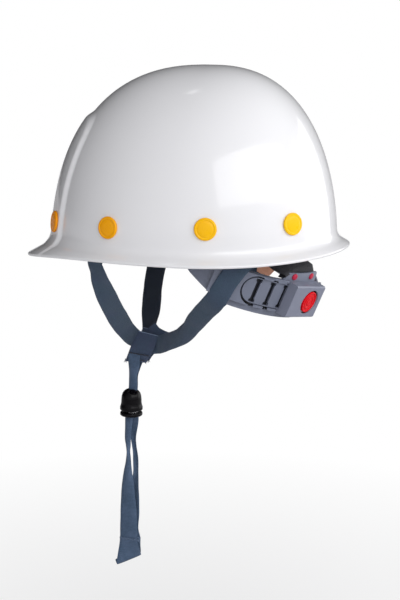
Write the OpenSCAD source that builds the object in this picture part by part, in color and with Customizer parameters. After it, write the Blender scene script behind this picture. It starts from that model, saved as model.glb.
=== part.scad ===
// Safety helmet: a glass fibre shell riveted round a webbing cradle, with a
// headband, a push-button nape adjuster and a chin strap with a sliding lock.
// Millimetres. The wearer faces -Y, the wearer's left is +X and up is +Z.
// The origin is the middle of the headband, where the head sits.

/* [Shell] */
// Half width of the dome at its base
dome_half_width = 104.5; // [103:0.5:110]
// Reach of the dome ahead of its middle
dome_front = 118.5; // [117:0.5:126]
// Reach of the dome behind its middle
dome_rear = 124; // [122:0.5:130]
// Height of the dome from its base to the crown
dome_height = 146.5; // [143:0.5:156]
// Wall thickness of the shell
wall = 2.6; // [2.2:0.1:3]
// How far the visor stands out ahead of the dome
visor_reach = 24; // [18:1:36]
// How far the rim stands out at the sides
side_reach = 9.5; // [7:0.5:14]
// How far the rim stands out at the rear
rear_reach = 10.7; // [8:0.1:16]
// Height of the raised front panel above the dome
panel_rise = 3; // [1:0.5:4]
// Diameter of the rivet caps
rivet_cap_d = 18; // [14:1:19]

/* [Headband] */
// Outer radius of the headband's round ends
band_r = 80; // [78:0.5:80]
// Height of the headband
band_h = 28; // [24:1:32]
// Thickness of the headband and the nape bands
band_t = 2.2; // [1.8:0.1:2.4]
// Tilt of the nape bands, lower at the rear
nape_tilt = 22; // [18:1:24]

/* [Adjuster] */
// Diameter of the release button
button_d = 18; // [15:0.5:18.5]
// Travel of the release button
button_travel = 2.2; // [2.1:0.05:2.2]
// Angle between neighbouring slots of the adjusting band
slot_pitch = 8.7; // [8.5:0.05:9]

/* [Chin strap] */
// Width of the chin webbing
chin_w = 17; // [14:0.5:17]
// Length of the hanging tape, from the junction to its hem
tape_length = 165; // [140:1:190]
// Distance from the junction down to the top of the sliding lock
lock_drop = 24.6; // [22:0.2:60]

/* [Hidden] */

$fn = 64;
fine = 160;           // facets of the large radii
clear = 0.1;          // gap between seated pieces
eps = 0.01;

// Dome, as a superellipse in plan that closes towards the crown
dome_mid_y = -7;      // the shell's middle lies ahead of the head's
dome_base = -20;      // level where the dome's wall starts
crown_shift = 17;     // how far the crown leans to the rear
squareness = 2.16;    // 2 is an ellipse in plan
lean = 0.06;          // outward slope of the wall towards the base
bulge_front = [3.13, 2.56];  // exponents of the dome's profile ahead,
bulge_rear = [1.92, 2.25];   // behind
bulge_side = [2.6, 2.15];    // and at the sides

// Raised front panel
panel_half = 43.5;    // half angle that it covers
panel_step = 1.3;     // half angle over which its edge rises
panel_top = 104;      // its top edge above the dome's base
panel_corner = 8;     // exponent that rounds its corners
panel_fade = [14, 10];   // it runs out into the visor below the dome's base

// Rim and its fillet, above the dome's base
rim_side = -8.7;      // lower edge at the sides,
rim_front_drop = 11.5;   // lower by this at the visor
rim_rear_lift = 6.6;     // and higher by this at the rear
rim_edge = 3;         // thickness of the rim's edge
rim_under = 2.4;      // width of its lower face
flare_angle = 65;     // slope of the rim at its edge, from upright
fillet_side = 9;      // fillet radius at the sides
fillet_gain = 0.41;   // growth of the fillet with the rim's reach

// Grid of the shell's surface
n_side = 58;          // steps from panel edge to panel edge round the rear
n_front = 18;         // steps across the panel
n_low = 7;            // levels below the panel's top
n_high = 7;           // levels above it
n_flare = 5;          // steps of the rim's fillet
first_level = 18;     // first level above the rim's fillet

// Rivets: plan angles of those on the wearer's left
rivet_angles = [-55.3, -18, 18, 55.3];
rivet_rise = 5.7;     // the rear ones sit higher by this, the front ones lower
shank_d = 5;
hole_d = 5.2;
seat = 1.1;           // room that a flat plate needs inside the curved wall

// Layers on a rivet's shank, from the wall inwards
clip_t = 2;
crown_t = 1.2;
chin_t = 1.4;
washer_t = 1.2;
washer_d = 12;
crown_w = 18;

// Hanger clips
clip_half = 11.4;
clip_tall = 17;
clip_arm_t = 2;
clip_arm_h = 8;
stud_d = 4;
stud_head_d = 7;
stud_head_t = 1.2;

// Headband: two round ends joined by straight sides
band_half = 21;       // half the distance between the centres of the ends
band_back = 49.5;     // the headband ends here, behind the temples
foam_t = 2.2;
vent_angles = [-114, -102, -90, -78, -66];
vent_l = 11;
vent_h = 4;
vent_z = 5;

// Nape ring: a cylinder round a tilted axis
ring_z = -29.6;
ring_r = band_r + 3.6;             // inner radius of the left arm
arm_top = 13.5;
arm_low = -17;
ear_top = 36;
ear_stud_z = 26;
ear_studs = [5.5, -8];
tail_r = ring_r + band_t + 0.2;    // inner radius of the adjusting band
tail_t = 2;
tail_half = 11;
roof_r = tail_r + tail_t + 0.3;    // guide plate over the adjusting band
roof_t = 1.2;
rail_t = 2;
guide_half = arm_top - 0.2;
guide_start = 12;
guide_end = 54;
window_half = tail_half - 0.8;
box_angle = 68;
box_face = ring_r + 11.4;
box_w = 41;
box_h = 28.4;
box_end = 82;         // the left arm ends under the housing
button_angle = box_angle + 3.3;
first_slot = button_angle - 4*slot_pitch;
slot_w = 3.6;
slot_half = 9.3;
tip_angle = first_slot - 8.6;      // rounded end of the adjusting band
tip_run = 7.3;                     // angle over which the end is rounded
band_steps = 2;                    // slots that the band can be drawn in by
flange_top = 26;
flange_stud_z = 20;
flange_stud_angle = 6.5;
cradle_w = 30;

// Latch: radial levels inside the housing
shelf_top = roof_r + 1.1;
latch_t = 0.9;
latch_low = shelf_top + button_travel + clear;
button_low = latch_low + latch_t + clear/2;
button_flange = 0.55;
cap_low = button_low + button_flange + clear;
button_face = box_face + 0.15;
hatch_half = 13;      // half height of the hatch that the latch's legs use
leg_in = 11.45;
leg_t = 1.2;
leg_w = 7;
latch_root = [12.4, 14.4];   // along the ring, where the latch is held
latch_root_half = 6;

// Cradle and chin strap
crown_z = 86;         // middle of the lowest crown strap
crown_flat = 26;      // radius within which the crossing straps lie flat
crown_draw = 1.5;     // above 1, the straps are drawn in from the wall
pad_d = 58;
pad_t = 5;
tab_low = -135;
tab_half = 2.2;
tape_y = -61.5;
tape_t = 2.4;
tape_w = 4.6;
tape_gap = 0.4;
tape_round = tape_w + tape_gap/2;
tape_top = tab_low - 0.3;
tape_bottom = tab_low - tape_length;
hem_w = 18;
hem_h = 18;
hem_t = 3;
hem_roll_d = 6.4;

// Sliding lock on the tape
lock_top = tab_low - lock_drop;
bell_h = 19;
bell_roof = 6.5;
bell_bore_r = 7.6;
plug_gap = 2;
plug_r = 6.2;
plug_reach = 10;
foot_h = 4.6;
foot_r = 10;
lock_slot = [3.2, 10.3];
lock_wire = 0.9;

// Shape functions

function lerp(a, b, t) = a + (b - a)*t;
function clamp(v) = min(1, max(0, v));
function unit(v) = v/norm(v);
function spow(v, e) = sign(v)*pow(abs(v), e);
function flip(p) = [-p[0], p[1], p[2]];

// Blend by plan angle: side value at the sides, front or rear at the ends
function by_side(a, front, rear, side) =
  lerp(side, sin(a) < 0 ? front : rear, pow(sin(a), 2));

// Angle away from straight ahead
function off_front(a) = abs((a + 630) % 360 - 180);

// Share of the panel's rise at a plan angle and a height above the base
function panel(a, up) =
  let (edge = pow(off_front(a)/panel_half, panel_corner)
         + pow(max(up, 0)/panel_top, panel_corner),
       band = 2*panel_corner*panel_step/panel_half)
  clamp((1 + band/2 - edge)/band)*clamp((up + panel_fade[0])/panel_fade[1]);

// Point of the dome; inset shrinks it all round, out widens its plan
function dome_point(a, up, inset = 0, out = 0) =
  let (h = dome_height - inset,
       t = clamp(up/h),
       p = by_side(a, bulge_front[0], bulge_rear[0], bulge_side[0]),
       q = by_side(a, bulge_front[1], bulge_rear[1], bulge_side[1]),
       s = pow(max(0, 1 - pow(t, p)), 1/q)*(1 + lean*(1 - t))/(1 + lean),
       reach = sin(a) < 0 ? dome_front : dome_rear,
       x = (dome_half_width - inset + out)*s*spow(cos(a), 2/squareness),
       y = (reach - inset + out)*s*spow(sin(a), 2/squareness),
       rise = 1 + panel_rise*panel(a, up)/max(1, norm([x, y])))
  [x*rise, dome_mid_y + y*rise + crown_shift*pow(t, 1.5), dome_base + up];

function rim_reach(a) = by_side(a, visor_reach, rear_reach, side_reach);
function rim_level(a) = rim_side
  + (sin(a) < 0 ? -rim_front_drop*pow(sin(a), 4)
                : rim_rear_lift*pow(sin(a), 2.6));
function fillet_r(a) = fillet_side + fillet_gain*(rim_reach(a) - side_reach);
function flare_top(a) =
  let (r = fillet_r(a), run = rim_reach(a) - r*(1 - cos(flare_angle)))
  rim_level(a) + rim_edge + r*sin(flare_angle) + run/tan(flare_angle);

// Levels of the dome above its base, from the rim's fillet to near the crown
levels = concat(
  [for (i = [0:n_low]) lerp(first_level, panel_top - panel_step, i/n_low)],
  [for (i = [0:n_high - 1])
     lerp(panel_top + panel_step, dome_height, sin(90*i/n_high))]);

// One meridian of the shell: down the outside, round the rim, up the inside
function meridian(a) =
  let (r = fillet_r(a), top = flare_top(a), low = rim_level(a),
       out = rim_reach(a), shrink = (dome_height - wall)/dome_height)
  concat(
    [for (i = [len(levels) - 1:-1:0]) dome_point(a, levels[i])],
    [for (i = [0:n_flare])
       let (f = flare_angle*i/n_flare)
       dome_point(a, top - r*sin(f), 0, r*(1 - cos(f)))],
    [dome_point(a, low + rim_edge, 0, out),
     dome_point(a, low, 0, out),
     dome_point(a, low, 0, out - rim_under)],
    [for (i = [n_flare:-1:0])
       let (f = flare_angle*i/n_flare)
       dome_point(a, top - (r + wall)*sin(f), 0, r - (r + wall)*cos(f))],
    [for (u = levels) dome_point(a, u*shrink, wall)]);

// Faces of rows of points that close round, with a tip before and after them
function wrapped_faces(rows, n) = concat(
  [for (i = [0:n - 1]) [0, 1 + (i + 1) % n, 1 + i]],
  [for (r = [0:rows - 2], i = [0:n - 1], half = [0, 1])
     let (a = 1 + r*n + i, b = 1 + r*n + (i + 1) % n)
     half == 0 ? [a, b, b + n] : [a, b + n, a + n]],
  [for (i = [0:n - 1])
     [1 + (rows - 1)*n + i, 1 + (rows - 1)*n + (i + 1) % n, 1 + rows*n]]);

// Rivets on the left: place, wall normal and the depth of each layer
function rivet_up(i) = -dome_base + rivet_rise*sin(rivet_angles[i]);
function rivet_at(i) = dome_point(rivet_angles[i], rivet_up(i));
function rivet_normal(i) =
  let (a = rivet_angles[i], u = rivet_up(i))
  unit(cross(dome_point(a + 0.5, u) - dome_point(a - 0.5, u),
             dome_point(a, u + 1) - dome_point(a, u - 1)));
function has_clip(i) = i < 2;
function has_chin(i) = i == 1 || i == 3;
function crown_depth(i) = wall + seat + (has_clip(i) ? clip_t + clear : 0);
function chin_depth(i) = crown_depth(i) + crown_t + clear;
function washer_depth(i) = chin_depth(i) + (has_chin(i) ? chin_t + clear : 0);

// Where a clip that leaves rivet i square to the wall meets the headband
function clip_heading(i) =
  let (n = rivet_normal(i)) unit([n[0], n[1], 0]);
function clip_span(i) =
  let (h = clip_heading(i), p = rivet_at(i),
       v = [p[0], p[1] + band_half, 0], along = v*h)
  along - sqrt(along*along - (v*v - band_r*band_r));
function clip_foot(i) = rivet_at(i) - clip_span(i)*clip_heading(i);
function clip_foot_angle(i) =
  let (q = clip_foot(i)) atan2(q[1] + band_half, q[0]);

// From the nape ring's cylinder to the helmet
function from_ring(angle, r, z) =
  [r*cos(angle),
   band_half + r*sin(angle)*cos(nape_tilt) + z*sin(nape_tilt),
   ring_z - r*sin(angle)*sin(nape_tilt) + z*cos(nape_tilt)];

// Points and faces of a flat strap along a path; each path entry is
// [point, direction of the width]
function strap_points(path, w, t) =
  [for (i = [0:len(path) - 1])
     let (before = path[max(i - 1, 0)][0],
          after = path[min(i + 1, len(path) - 1)][0],
          along = unit(after - before),
          side = unit(path[i][1] - (path[i][1]*along)*along),
          face = cross(along, side))
     for (c = [[-1, -1], [1, -1], [1, 1], [-1, 1]])
       path[i][0] + side*c[0]*w/2 + face*c[1]*t/2];
function tube_faces(rings, n) = concat(
  [[for (i = [0:n - 1]) i]],
  [for (r = [0:rings - 2], i = [0:n - 1], half = [0, 1])
     let (a = r*n + i, b = r*n + (i + 1) % n)
     half == 0 ? [a, a + n, b + n] : [a, b + n, b]],
  [[for (i = [n - 1:-1:0]) (rings - 1)*n + i]]);

// Placement

module on_both_sides() {
  children();
  mirror([1, 0, 0]) children();
}

// Local Z points out of the wall, Y up along it and X towards the rear
module at_wall(p, n) {
  translate(p)
    rotate([90 - asin(n[2]), 0, atan2(n[1], n[0]) + 90])
      children();
}

module at_rivet(i) {
  at_wall(rivet_at(i), rivet_normal(i)) children();
}

module in_ring() {
  translate([0, band_half, ring_z])
    rotate([-nape_tilt, 0, 0])
      children();
}

// Local X points outwards, Y along the ring and Z up along its axis
module at_ring(angle) {
  in_ring() rotate([0, 0, angle]) children();
}

module radial_pin(d, r0, r1) {
  translate([r0, 0, 0]) rotate([0, 90, 0]) cylinder(d = d, h = r1 - r0);
}

module ring_sector(r0, r1, z0, z1, a0, a1) {
  rotate([0, 0, a0])
    rotate_extrude(angle = a1 - a0, $fn = fine)
      translate([r0, z0]) square([r1 - r0, z1 - z0]);
}

module strap(path, w, t) {
  polyhedron(points = strap_points(path, w, t),
             faces = tube_faces(len(path), 4), convexity = 4);
}

// Coil about Z from z = 0 up, with wire of diameter d
module coil(mean_r, d, turns, h, steps = 14, sides = 6) {
  n = turns*steps;
  rise = (h - d)/n;
  pts = [for (i = [0:n], k = [0:sides - 1])
           let (a = 360*i/steps, f = -360*k/sides,
                r = mean_r + d/2*cos(f))
           [r*cos(a), r*sin(a), d/2 + rise*i + d/2*sin(f)]];
  polyhedron(points = pts, faces = tube_faces(n + 1, sides), convexity = 8);
}

// Shell and rivets

module shell() {
  color("white")
  difference() {
    angles = concat(
      [for (i = [0:n_side])
         lerp(panel_half + panel_step - 90, 270 - panel_half - panel_step,
              i/n_side)],
      [for (i = [0:n_front])
         lerp(270 - panel_half + panel_step, 270 + panel_half - panel_step,
              i/n_front)]);
    lines = [for (a = angles) meridian(a)];
    rows = len(lines[0]);
    polyhedron(
      points = concat(
        [dome_point(90, dome_height)],
        [for (r = [0:rows - 1], l = lines) l[r]],
        [dome_point(90, dome_height - wall, wall)]),
      faces = wrapped_faces(rows, len(angles)), convexity = 8);
    on_both_sides()
      for (i = [0:len(rivet_angles) - 1])
        at_rivet(i) cylinder(d = hole_d, h = 4*wall, center = true);
  }
}

module shell_rivets() {
  r = rivet_cap_d/2;
  color("orange")
  on_both_sides()
    for (i = [0:len(rivet_angles) - 1]) {
      tail = washer_depth(i) + washer_t + clear;
      at_rivet(i) {
        translate([0, 0, clear])
          rotate_extrude()
            polygon([[0, 0], [r, 0], [r, 0.9], [r - 0.9, 1.9], [r - 1.7, 1.9],
                     [r - 2.3, 1.4], [r/2, 1.7], [0, 1.8]]);
        translate([0, 0, -tail]) cylinder(d = shank_d, h = tail + clear + eps);
        translate([0, 0, -tail - 1]) cylinder(d = shank_d + 2.6, h = 1 + eps);
      }
    }
}

module rivet_washers() {
  color("silver")
  on_both_sides()
    for (i = [0:len(rivet_angles) - 1])
      at_rivet(i)
        translate([0, 0, -washer_depth(i) - washer_t])
          difference() {
            cylinder(d = washer_d, h = washer_t);
            cylinder(d = hole_d, h = 4*washer_t, center = true);
          }
}

// Headband and what carries it

module band_block(r, h) {
  for (s = [-1, 1])
    translate([0, s*band_half, -h/2]) cylinder(r = r, h = h, $fn = fine);
  translate([-r, -band_half, -h/2]) cube([2*r, 2*band_half, h]);
}

module hanger_clip(i) {
  foot = clip_foot(i);
  turn = clip_foot_angle(i);
  difference() {
    union() {
      at_rivet(i)
        translate([-clip_half, -clip_tall/2, -wall - seat - clip_t])
          cube([2*clip_half, clip_tall, clip_t]);
      at_wall(rivet_at(i), clip_heading(i))
        for (s = [-1, 1])
          translate([s*(clip_half - clip_arm_t/2) - clip_arm_t/2,
                     -clip_arm_h/2, 1 - clip_span(i)])
            cube([clip_arm_t, clip_arm_h, clip_span(i) - wall - seat - 2]);
      at_wall(foot, [cos(turn), sin(turn), 0])
        translate([-clip_half, -clip_tall/2 + 2, clear])
          cube([2*clip_half, clip_tall - 4, clip_t]);
    }
    at_rivet(i) cylinder(d = hole_d, h = 30, center = true);
    at_wall(foot, [cos(turn), sin(turn), 0])
      cylinder(d = stud_d + 2*clear, h = 14, center = true);
  }
}

module hanger_clips() {
  color("slategray")
  on_both_sides()
    for (i = [0:1]) hanger_clip(i);
}

module headband() {
  color("gray")
  difference() {
    union() {
      difference() {
        band_block(band_r, band_h);
        translate([-band_r - 1, band_back, -band_h])
          cube([2*band_r + 2, band_r, 2*band_h]);
      }
      for (a = ear_studs)
        at_ring(a) translate([0, 0, ear_stud_z])
          radial_pin(9, band_r - 5, ring_r - 3*clear);
      at_ring(180 - ear_studs[0]) translate([0, 0, ear_stud_z])
        radial_pin(9, band_r - 5, tail_r - 3*clear);
    }
    band_block(band_r - band_t, 4*band_h);
    for (a = vent_angles)
      translate([0, -band_half, vent_z]) rotate([0, 0, a])
        translate([band_r - 2*band_t, 0, 0]) {
          translate([0, -vent_l/2, -vent_h/2]) cube([4*band_t, vent_l, vent_h]);
          for (s = [-1, 1])
            translate([0, s*vent_l/2, 0]) rotate([0, 90, 0])
              cylinder(d = vent_h, h = 4*band_t);
        }
    for (a = concat(ear_studs, [180 - ear_studs[0]]))
      at_ring(a) translate([0, 0, ear_stud_z])
        radial_pin(stud_d + 2*clear, band_r - 8, box_face);
    on_both_sides()
      for (i = [0:1])
        at_wall(clip_foot(i),
                [cos(clip_foot_angle(i)), sin(clip_foot_angle(i)), 0])
          cylinder(d = stud_d + 2*clear, h = 14, center = true);
  }
}

module headband_studs() {
  color("dimgray") {
    on_both_sides()
      for (i = [0:1])
        at_wall(clip_foot(i),
                [cos(clip_foot_angle(i)), sin(clip_foot_angle(i)), 0]) {
          translate([0, 0, -band_t + clear])
            cylinder(d = stud_d, h = band_t + clip_t + 2*clear);
          translate([0, 0, clip_t + 2*clear])
            cylinder(d = stud_head_d, h = stud_head_t);
        }
    for (a = ear_studs)
      at_ring(a) translate([0, 0, ear_stud_z]) {
        radial_pin(stud_d, band_r, ring_r + band_t + clear + eps);
        radial_pin(stud_head_d, ring_r + band_t + clear,
                   ring_r + band_t + clear + stud_head_t);
      }
    at_ring(180 - ear_studs[0]) translate([0, 0, ear_stud_z]) {
      radial_pin(stud_d, band_r, tail_r + tail_t + clear + eps);
      radial_pin(stud_head_d, tail_r + tail_t + clear,
                 tail_r + tail_t + clear + stud_head_t);
    }
  }
}

module sweatband() {
  color("tan")
  difference() {
    band_block(band_r - band_t - clear, band_h - 2);
    band_block(band_r - band_t - clear - foam_t, 2*band_h);
    translate([-band_r, band_back - 3, -band_h])
      cube([2*band_r, band_r, 2*band_h]);
  }
}

// Crown cradle

// Half of a crown strap, from its end below rivet i up to the crown
function crown_leg(i, z) =
  let (p = rivet_at(i), n = rivet_normal(i), head = clip_heading(i),
       wide = [-head[1], head[0], 0],
       up = cross(n, wide),
       mid = p - n*(crown_depth(i) + crown_t/2),
       knee = mid + 11*up,
       far = norm([knee[0], knee[1]]),
       way = [knee[0]/far, knee[1]/far, 0],
       flat_wide = [-way[1], way[0], 0])
  concat(
    [[mid - 8*up, wide]],
    [for (f = [0:9:90])
       [way*lerp(crown_flat, far, pow(cos(f), crown_draw))
          + [0, 0, lerp(knee[2], z, sin(f))],
        unit(lerp(wide, flat_wide, clamp(f/54)))]]);

function flipped(path) = [for (p = path) [flip(p[0]), flip(p[1])]];
function reversed(path) = [for (i = [len(path) - 1:-1:0]) path[i]];

// Strap from left rivet i across the crown to the rivet opposite
module crown_strap(i, layer) {
  z = crown_z + layer*(crown_t + clear);
  j = 3 - i;
  difference() {
    strap(concat(crown_leg(i, z), reversed(flipped(crown_leg(j, z)))),
          crown_w, crown_t);
    at_rivet(i) cylinder(d = hole_d, h = 30, center = true);
    mirror([1, 0, 0]) at_rivet(j) cylinder(d = hole_d, h = 30, center = true);
  }
}

module crown_strap_a() { color("dimgray") crown_strap(0, 0); }
module crown_strap_b() { color("dimgray") crown_strap(3, 1); }
module crown_strap_c() { color("dimgray") crown_strap(1, 2); }
module crown_strap_d() { color("dimgray") crown_strap(2, 3); }

// Soft pad that the crossing straps press on the head
module crown_pad() {
  top = crown_z - 1.5*crown_t - 3*clear;
  color("tan")
  rotate_extrude()
    polygon([[0, top], [pad_d/2 - 1, top], [pad_d/2, top - 1],
             [pad_d/2, top - pad_t + 2], [pad_d/2 - 2, top - pad_t],
             [0, top - pad_t]]);
}

// Wide strap from the adjuster's flange up inside the shell to the crown
flange_seat_r = sqrt(ring_r*ring_r - cradle_w*cradle_w/4) - clear - crown_t/2;
cradle_start = from_ring(box_angle, flange_seat_r, arm_top - 0.5);
cradle_lip = from_ring(box_angle, flange_seat_r, flange_top);
cradle_wide = unit(from_ring(box_angle + 1, 80, 0)
                   - from_ring(box_angle - 1, 80, 0));
cradle_route = [[29, 97, -21], [27.5, 96, -5], [26, 95, 10], [24, 91, 26],
                [20, 82, 45], [15, 62, 67.5], [8.6, 40, 80.5],
                [6.2, 30.5, 84.5]];

module cradle_strap_rear() {
  under = crown_z - crown_t - clear;
  path = concat(
    [[cradle_start, cradle_wide], [cradle_lip, cradle_wide]],
    [for (i = [0:len(cradle_route) - 1])
       [cradle_route[i],
        unit(lerp(cradle_wide, [-0.97, 0.23, 0], (i + 1)/len(cradle_route)))]],
    [[[4.4, 19.5, under], [-0.97, 0.23, 0]], [[-2, -8, under], [-0.97, 0.23, 0]]]);
  color("black")
  difference() {
    strap(path, cradle_w, crown_t);
    for (s = [-1, 1])
      at_ring(box_angle + s*flange_stud_angle)
        translate([0, 0, flange_stud_z])
          radial_pin(3 + 2*clear, flange_seat_r - 6, box_face);
  }
}

module cradle_studs() {
  color("crimson")
  for (s = [-1, 1])
    at_ring(box_angle + s*flange_stud_angle)
      translate([0, 0, flange_stud_z]) {
        back = flange_seat_r*cos(flange_stud_angle)
          - crown_t/2/cos(flange_stud_angle) + 0.55;
        radial_pin(3, back - 1.4, ring_r + band_t + clear + eps);
        radial_pin(6, back - 2.2, back - 1.2);
        translate([ring_r + band_t + clear, 0, 0]) rotate([0, 90, 0])
          rotate_extrude()
            polygon([[0, 0], [2.4, 0], [2.4, 0.5], [1.4, 1.3], [0, 1.3]]);
      }
}

// Nape ring

// Side outline of an arm, seen along X in the ring's own directions
module arm_outline(front) {
  polygon([[front, ear_top], [14, ear_top], [21, arm_top], [70, arm_top],
           [72, flange_top - 2], [73.5, flange_top], [80.5, flange_top],
           [81.8, flange_top - 2], [82.6, arm_top], [90, arm_top],
           [90, arm_low], [26, arm_low], [0, -6], [front, 8]]);
}

module band_outline(front) {
  polygon([[front, ear_top], [14, ear_top], [21, arm_top], [76, arm_top],
           [83, tail_half], [90, tail_half], [90, -tail_half],
           [83, -tail_half], [76, arm_low], [26, arm_low], [0, -6],
           [front, 8]]);
}

// Stands the outline up on one side of the ring
module side_mask(sign) {
  rotate([90, 0, 90])
    translate([0, 0, sign > 0 ? 0 : -110])
      linear_extrude(height = 110)
        children();
}

module nape_arm_left() {
  color("slategray")
  in_ring()
  difference() {
    union() {
      intersection() {
        ring_sector(ring_r, ring_r + band_t, arm_low - 1, ear_top + 4, -24,
                    box_end);
        side_mask(1) arm_outline(-22);
      }
      // channel that guides the adjusting band: two rails and a roof
      rotate([0, 0, guide_start])
        rotate_extrude(angle = guide_end - guide_start, $fn = fine)
          polygon([[ring_r + 1, -guide_half], [roof_r + roof_t, -guide_half],
                   [roof_r + roof_t, guide_half], [ring_r + 1, guide_half],
                   [ring_r + 1, guide_half - rail_t],
                   [roof_r, guide_half - rail_t],
                   [roof_r, rail_t - guide_half],
                   [ring_r + 1, rail_t - guide_half]]);
    }
    // window over the adjusting band, round at its front end
    rotate([0, 0, first_slot])
      radial_pin(2*window_half, roof_r - 0.2, roof_r + 9);
    ring_sector(roof_r - 0.2, roof_r + 9, -window_half, window_half,
                first_slot, guide_end + 2);
    // hatch that the latch moves in
    rotate([0, 0, button_angle])
      translate([ring_r - 3, -leg_w/2 - 0.6, -hatch_half - 0.2])
        cube([band_t + 6, leg_w + 1.2, 2*hatch_half + 0.4]);
    for (a = ear_studs)
      rotate([0, 0, a]) translate([0, 0, ear_stud_z])
        radial_pin(stud_d + 2*clear, ring_r - 3, box_face);
    for (s = [-1, 1])
      rotate([0, 0, box_angle + s*flange_stud_angle])
        translate([0, 0, flange_stud_z])
          radial_pin(3 + 2*clear, ring_r - 3, box_face);
  }
}

module nape_band_right() {
  r1 = tail_r + tail_t;
  slide = slot_pitch*band_steps;
  stud_angle = 180 - ear_studs[0];
  color("gray")
  in_ring()
  difference() {
    intersection() {
      ring_sector(tail_r, r1, arm_low - 1, ear_top + 4, tip_angle - 1, 205);
      union() {
        side_mask(-1) band_outline(-25);
        translate([-20, 0, -tail_half]) cube([130, 110, 2*tail_half]);
      }
      rotate([0, 0, tip_angle + tip_run]) {
        radial_pin(2*tail_half, tail_r - 2, r1 + 2);
        translate([-110, 0, -60]) cube([220, 130, 120]);
      }
    }
    // slots that the latch locks into
    for (k = [0:8])
      rotate([0, 0, first_slot + k*slot_pitch])
        translate([tail_r - 2, -slot_w/2, -slot_half])
          cube([tail_t + 4, slot_w, 2*slot_half]);
    // long slot that lets the band slide past the headband's stud
    ring_sector(tail_r - 1, r1 + 1, ear_stud_z - stud_d/2 - 2*clear,
                ear_stud_z + stud_d/2 + 2*clear, stud_angle, stud_angle + slide);
    for (a = [stud_angle, stud_angle + slide])
      rotate([0, 0, a]) translate([0, 0, ear_stud_z])
        radial_pin(stud_d + 4*clear, tail_r - 2, r1 + 2);
  }
}

module nape_pad_left() {
  color("tan")
  in_ring()
    ring_sector(ring_r - clear - foam_t, ring_r - clear, arm_low + 1,
                arm_top - 2, 20, 52);
}

module nape_pad_right() {
  color("tan")
  in_ring()
    ring_sector(tail_r - clear - foam_t, tail_r - clear, arm_low - 4,
                arm_top - 2, 124, 150);
}

// Push-button adjuster

module adjuster_housing() {
  half = box_h/2;
  color("slategray")
  difference() {
    at_ring(box_angle)
      difference() {
        translate([ring_r - 3, -box_w/2, -half])
          cube([box_face - ring_r + 3, box_w, box_h]);
        // bevels along the top and bottom edges of the face
        for (s = [-1, 1])
          translate([box_face, 0, s*half]) rotate([0, 45, 0])
            cube([1.6, box_w + 1, 1.6], center = true);
        // recess round the button
        rotate([0, 0, button_angle - box_angle])
          radial_pin(button_d + 3.4, box_face - 0.5, box_face + 2);
      }
    in_ring() {
      cylinder(r = ring_r + band_t + clear, h = 80, center = true, $fn = fine);
      ring_sector(ring_r, roof_r, -tail_half - 0.3, tail_half + 0.3, 40, 100);
    }
    at_ring(button_angle) {
      radial_pin(button_d + 0.4, shelf_top, box_face + 3);
      radial_pin(button_d + 2.2, shelf_top, cap_low);
      translate([shelf_top, -leg_w, -hatch_half])
        cube([cap_low - shelf_top, leg_w + latch_root[0], 2*hatch_half]);
      translate([latch_low - clear, 0, -latch_root_half - clear])
        cube([latch_t + 2*clear, latch_root[1] + clear,
              2*(latch_root_half + clear)]);
      for (s = [-1, 1])
        translate([ring_r, -leg_w/2 - 0.4, s > 0 ? tail_half : -hatch_half])
          cube([shelf_top - ring_r + 1, leg_w + 0.8, hatch_half - tail_half]);
    }
  }
}

module release_button() {
  r = button_d/2;
  h = button_face - button_low;
  color("red")
  at_ring(button_angle)
    translate([button_low, 0, 0]) rotate([0, 90, 0])
      rotate_extrude()
        polygon([[0, 0], [r + 0.9, 0], [r + 0.9, button_flange],
                 [r, button_flange], [r, h - 0.6], [r - 0.6, h],
                 [r*0.74, h], [r*0.72, h - 0.4], [r*0.62, h - 0.4],
                 [r*0.60, h], [r*0.42, h], [r*0.40, h - 0.4],
                 [r*0.30, h - 0.4], [r*0.28, h], [0, h]]);
}

// Folded spring strip under the button, held at one end: its bar passes
// behind the adjusting band, and the tooth on it locks a slot
module latch_stirrup() {
  bar_low = ring_r + clear;
  color("silver")
  at_ring(button_angle) {
    translate([latch_low, -leg_w/2, -leg_in - leg_t])
      cube([latch_t, leg_w, 2*(leg_in + leg_t)]);
    translate([latch_low, 0, -latch_root_half])
      cube([latch_t, latch_root[1], 2*latch_root_half]);
    for (s = [-1, 1])
      translate([bar_low, -leg_w/2, s > 0 ? leg_in : -leg_in - leg_t])
        cube([latch_low + latch_t - bar_low, leg_w, leg_t]);
    translate([bar_low, -leg_w/2, -leg_in - leg_t])
      cube([1.4, leg_w, 2*(leg_in + leg_t)]);
    translate([bar_low, -slot_w/2 + 0.4, -slot_half + 0.5])
      cube([tail_r + tail_t - 0.2 - bar_low, slot_w - 0.8, 2*slot_half - 1]);
  }
}

// Chin strap

// Front leg, from above its rivet down the wall and in to the junction
chin_front_route = [
  [[91.5, -52.5, -19], [0.42, 0.91, 0]],
  [[89.5, -58, -29], [0.5, 0.86, 0]],
  [[85, -59.5, -43], [0.3, 0.95, 0]],
  [[76, -59, -56], [0.1, 1, 0]],
  [[64, -58.5, -68], [0, 1, 0]],
  [[48, -58, -82], [0, 1, 0]],
  [[28, -56.5, -100], [0, 1, 0]],
  [[11, -54.5, -113], [0, 1, 0]],
  [[4.6, -53.5, -118.5], [0, 1, 0.1]],
  [[3.1, -52.5, -124], [0, 1, 0.1]]
];

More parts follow.
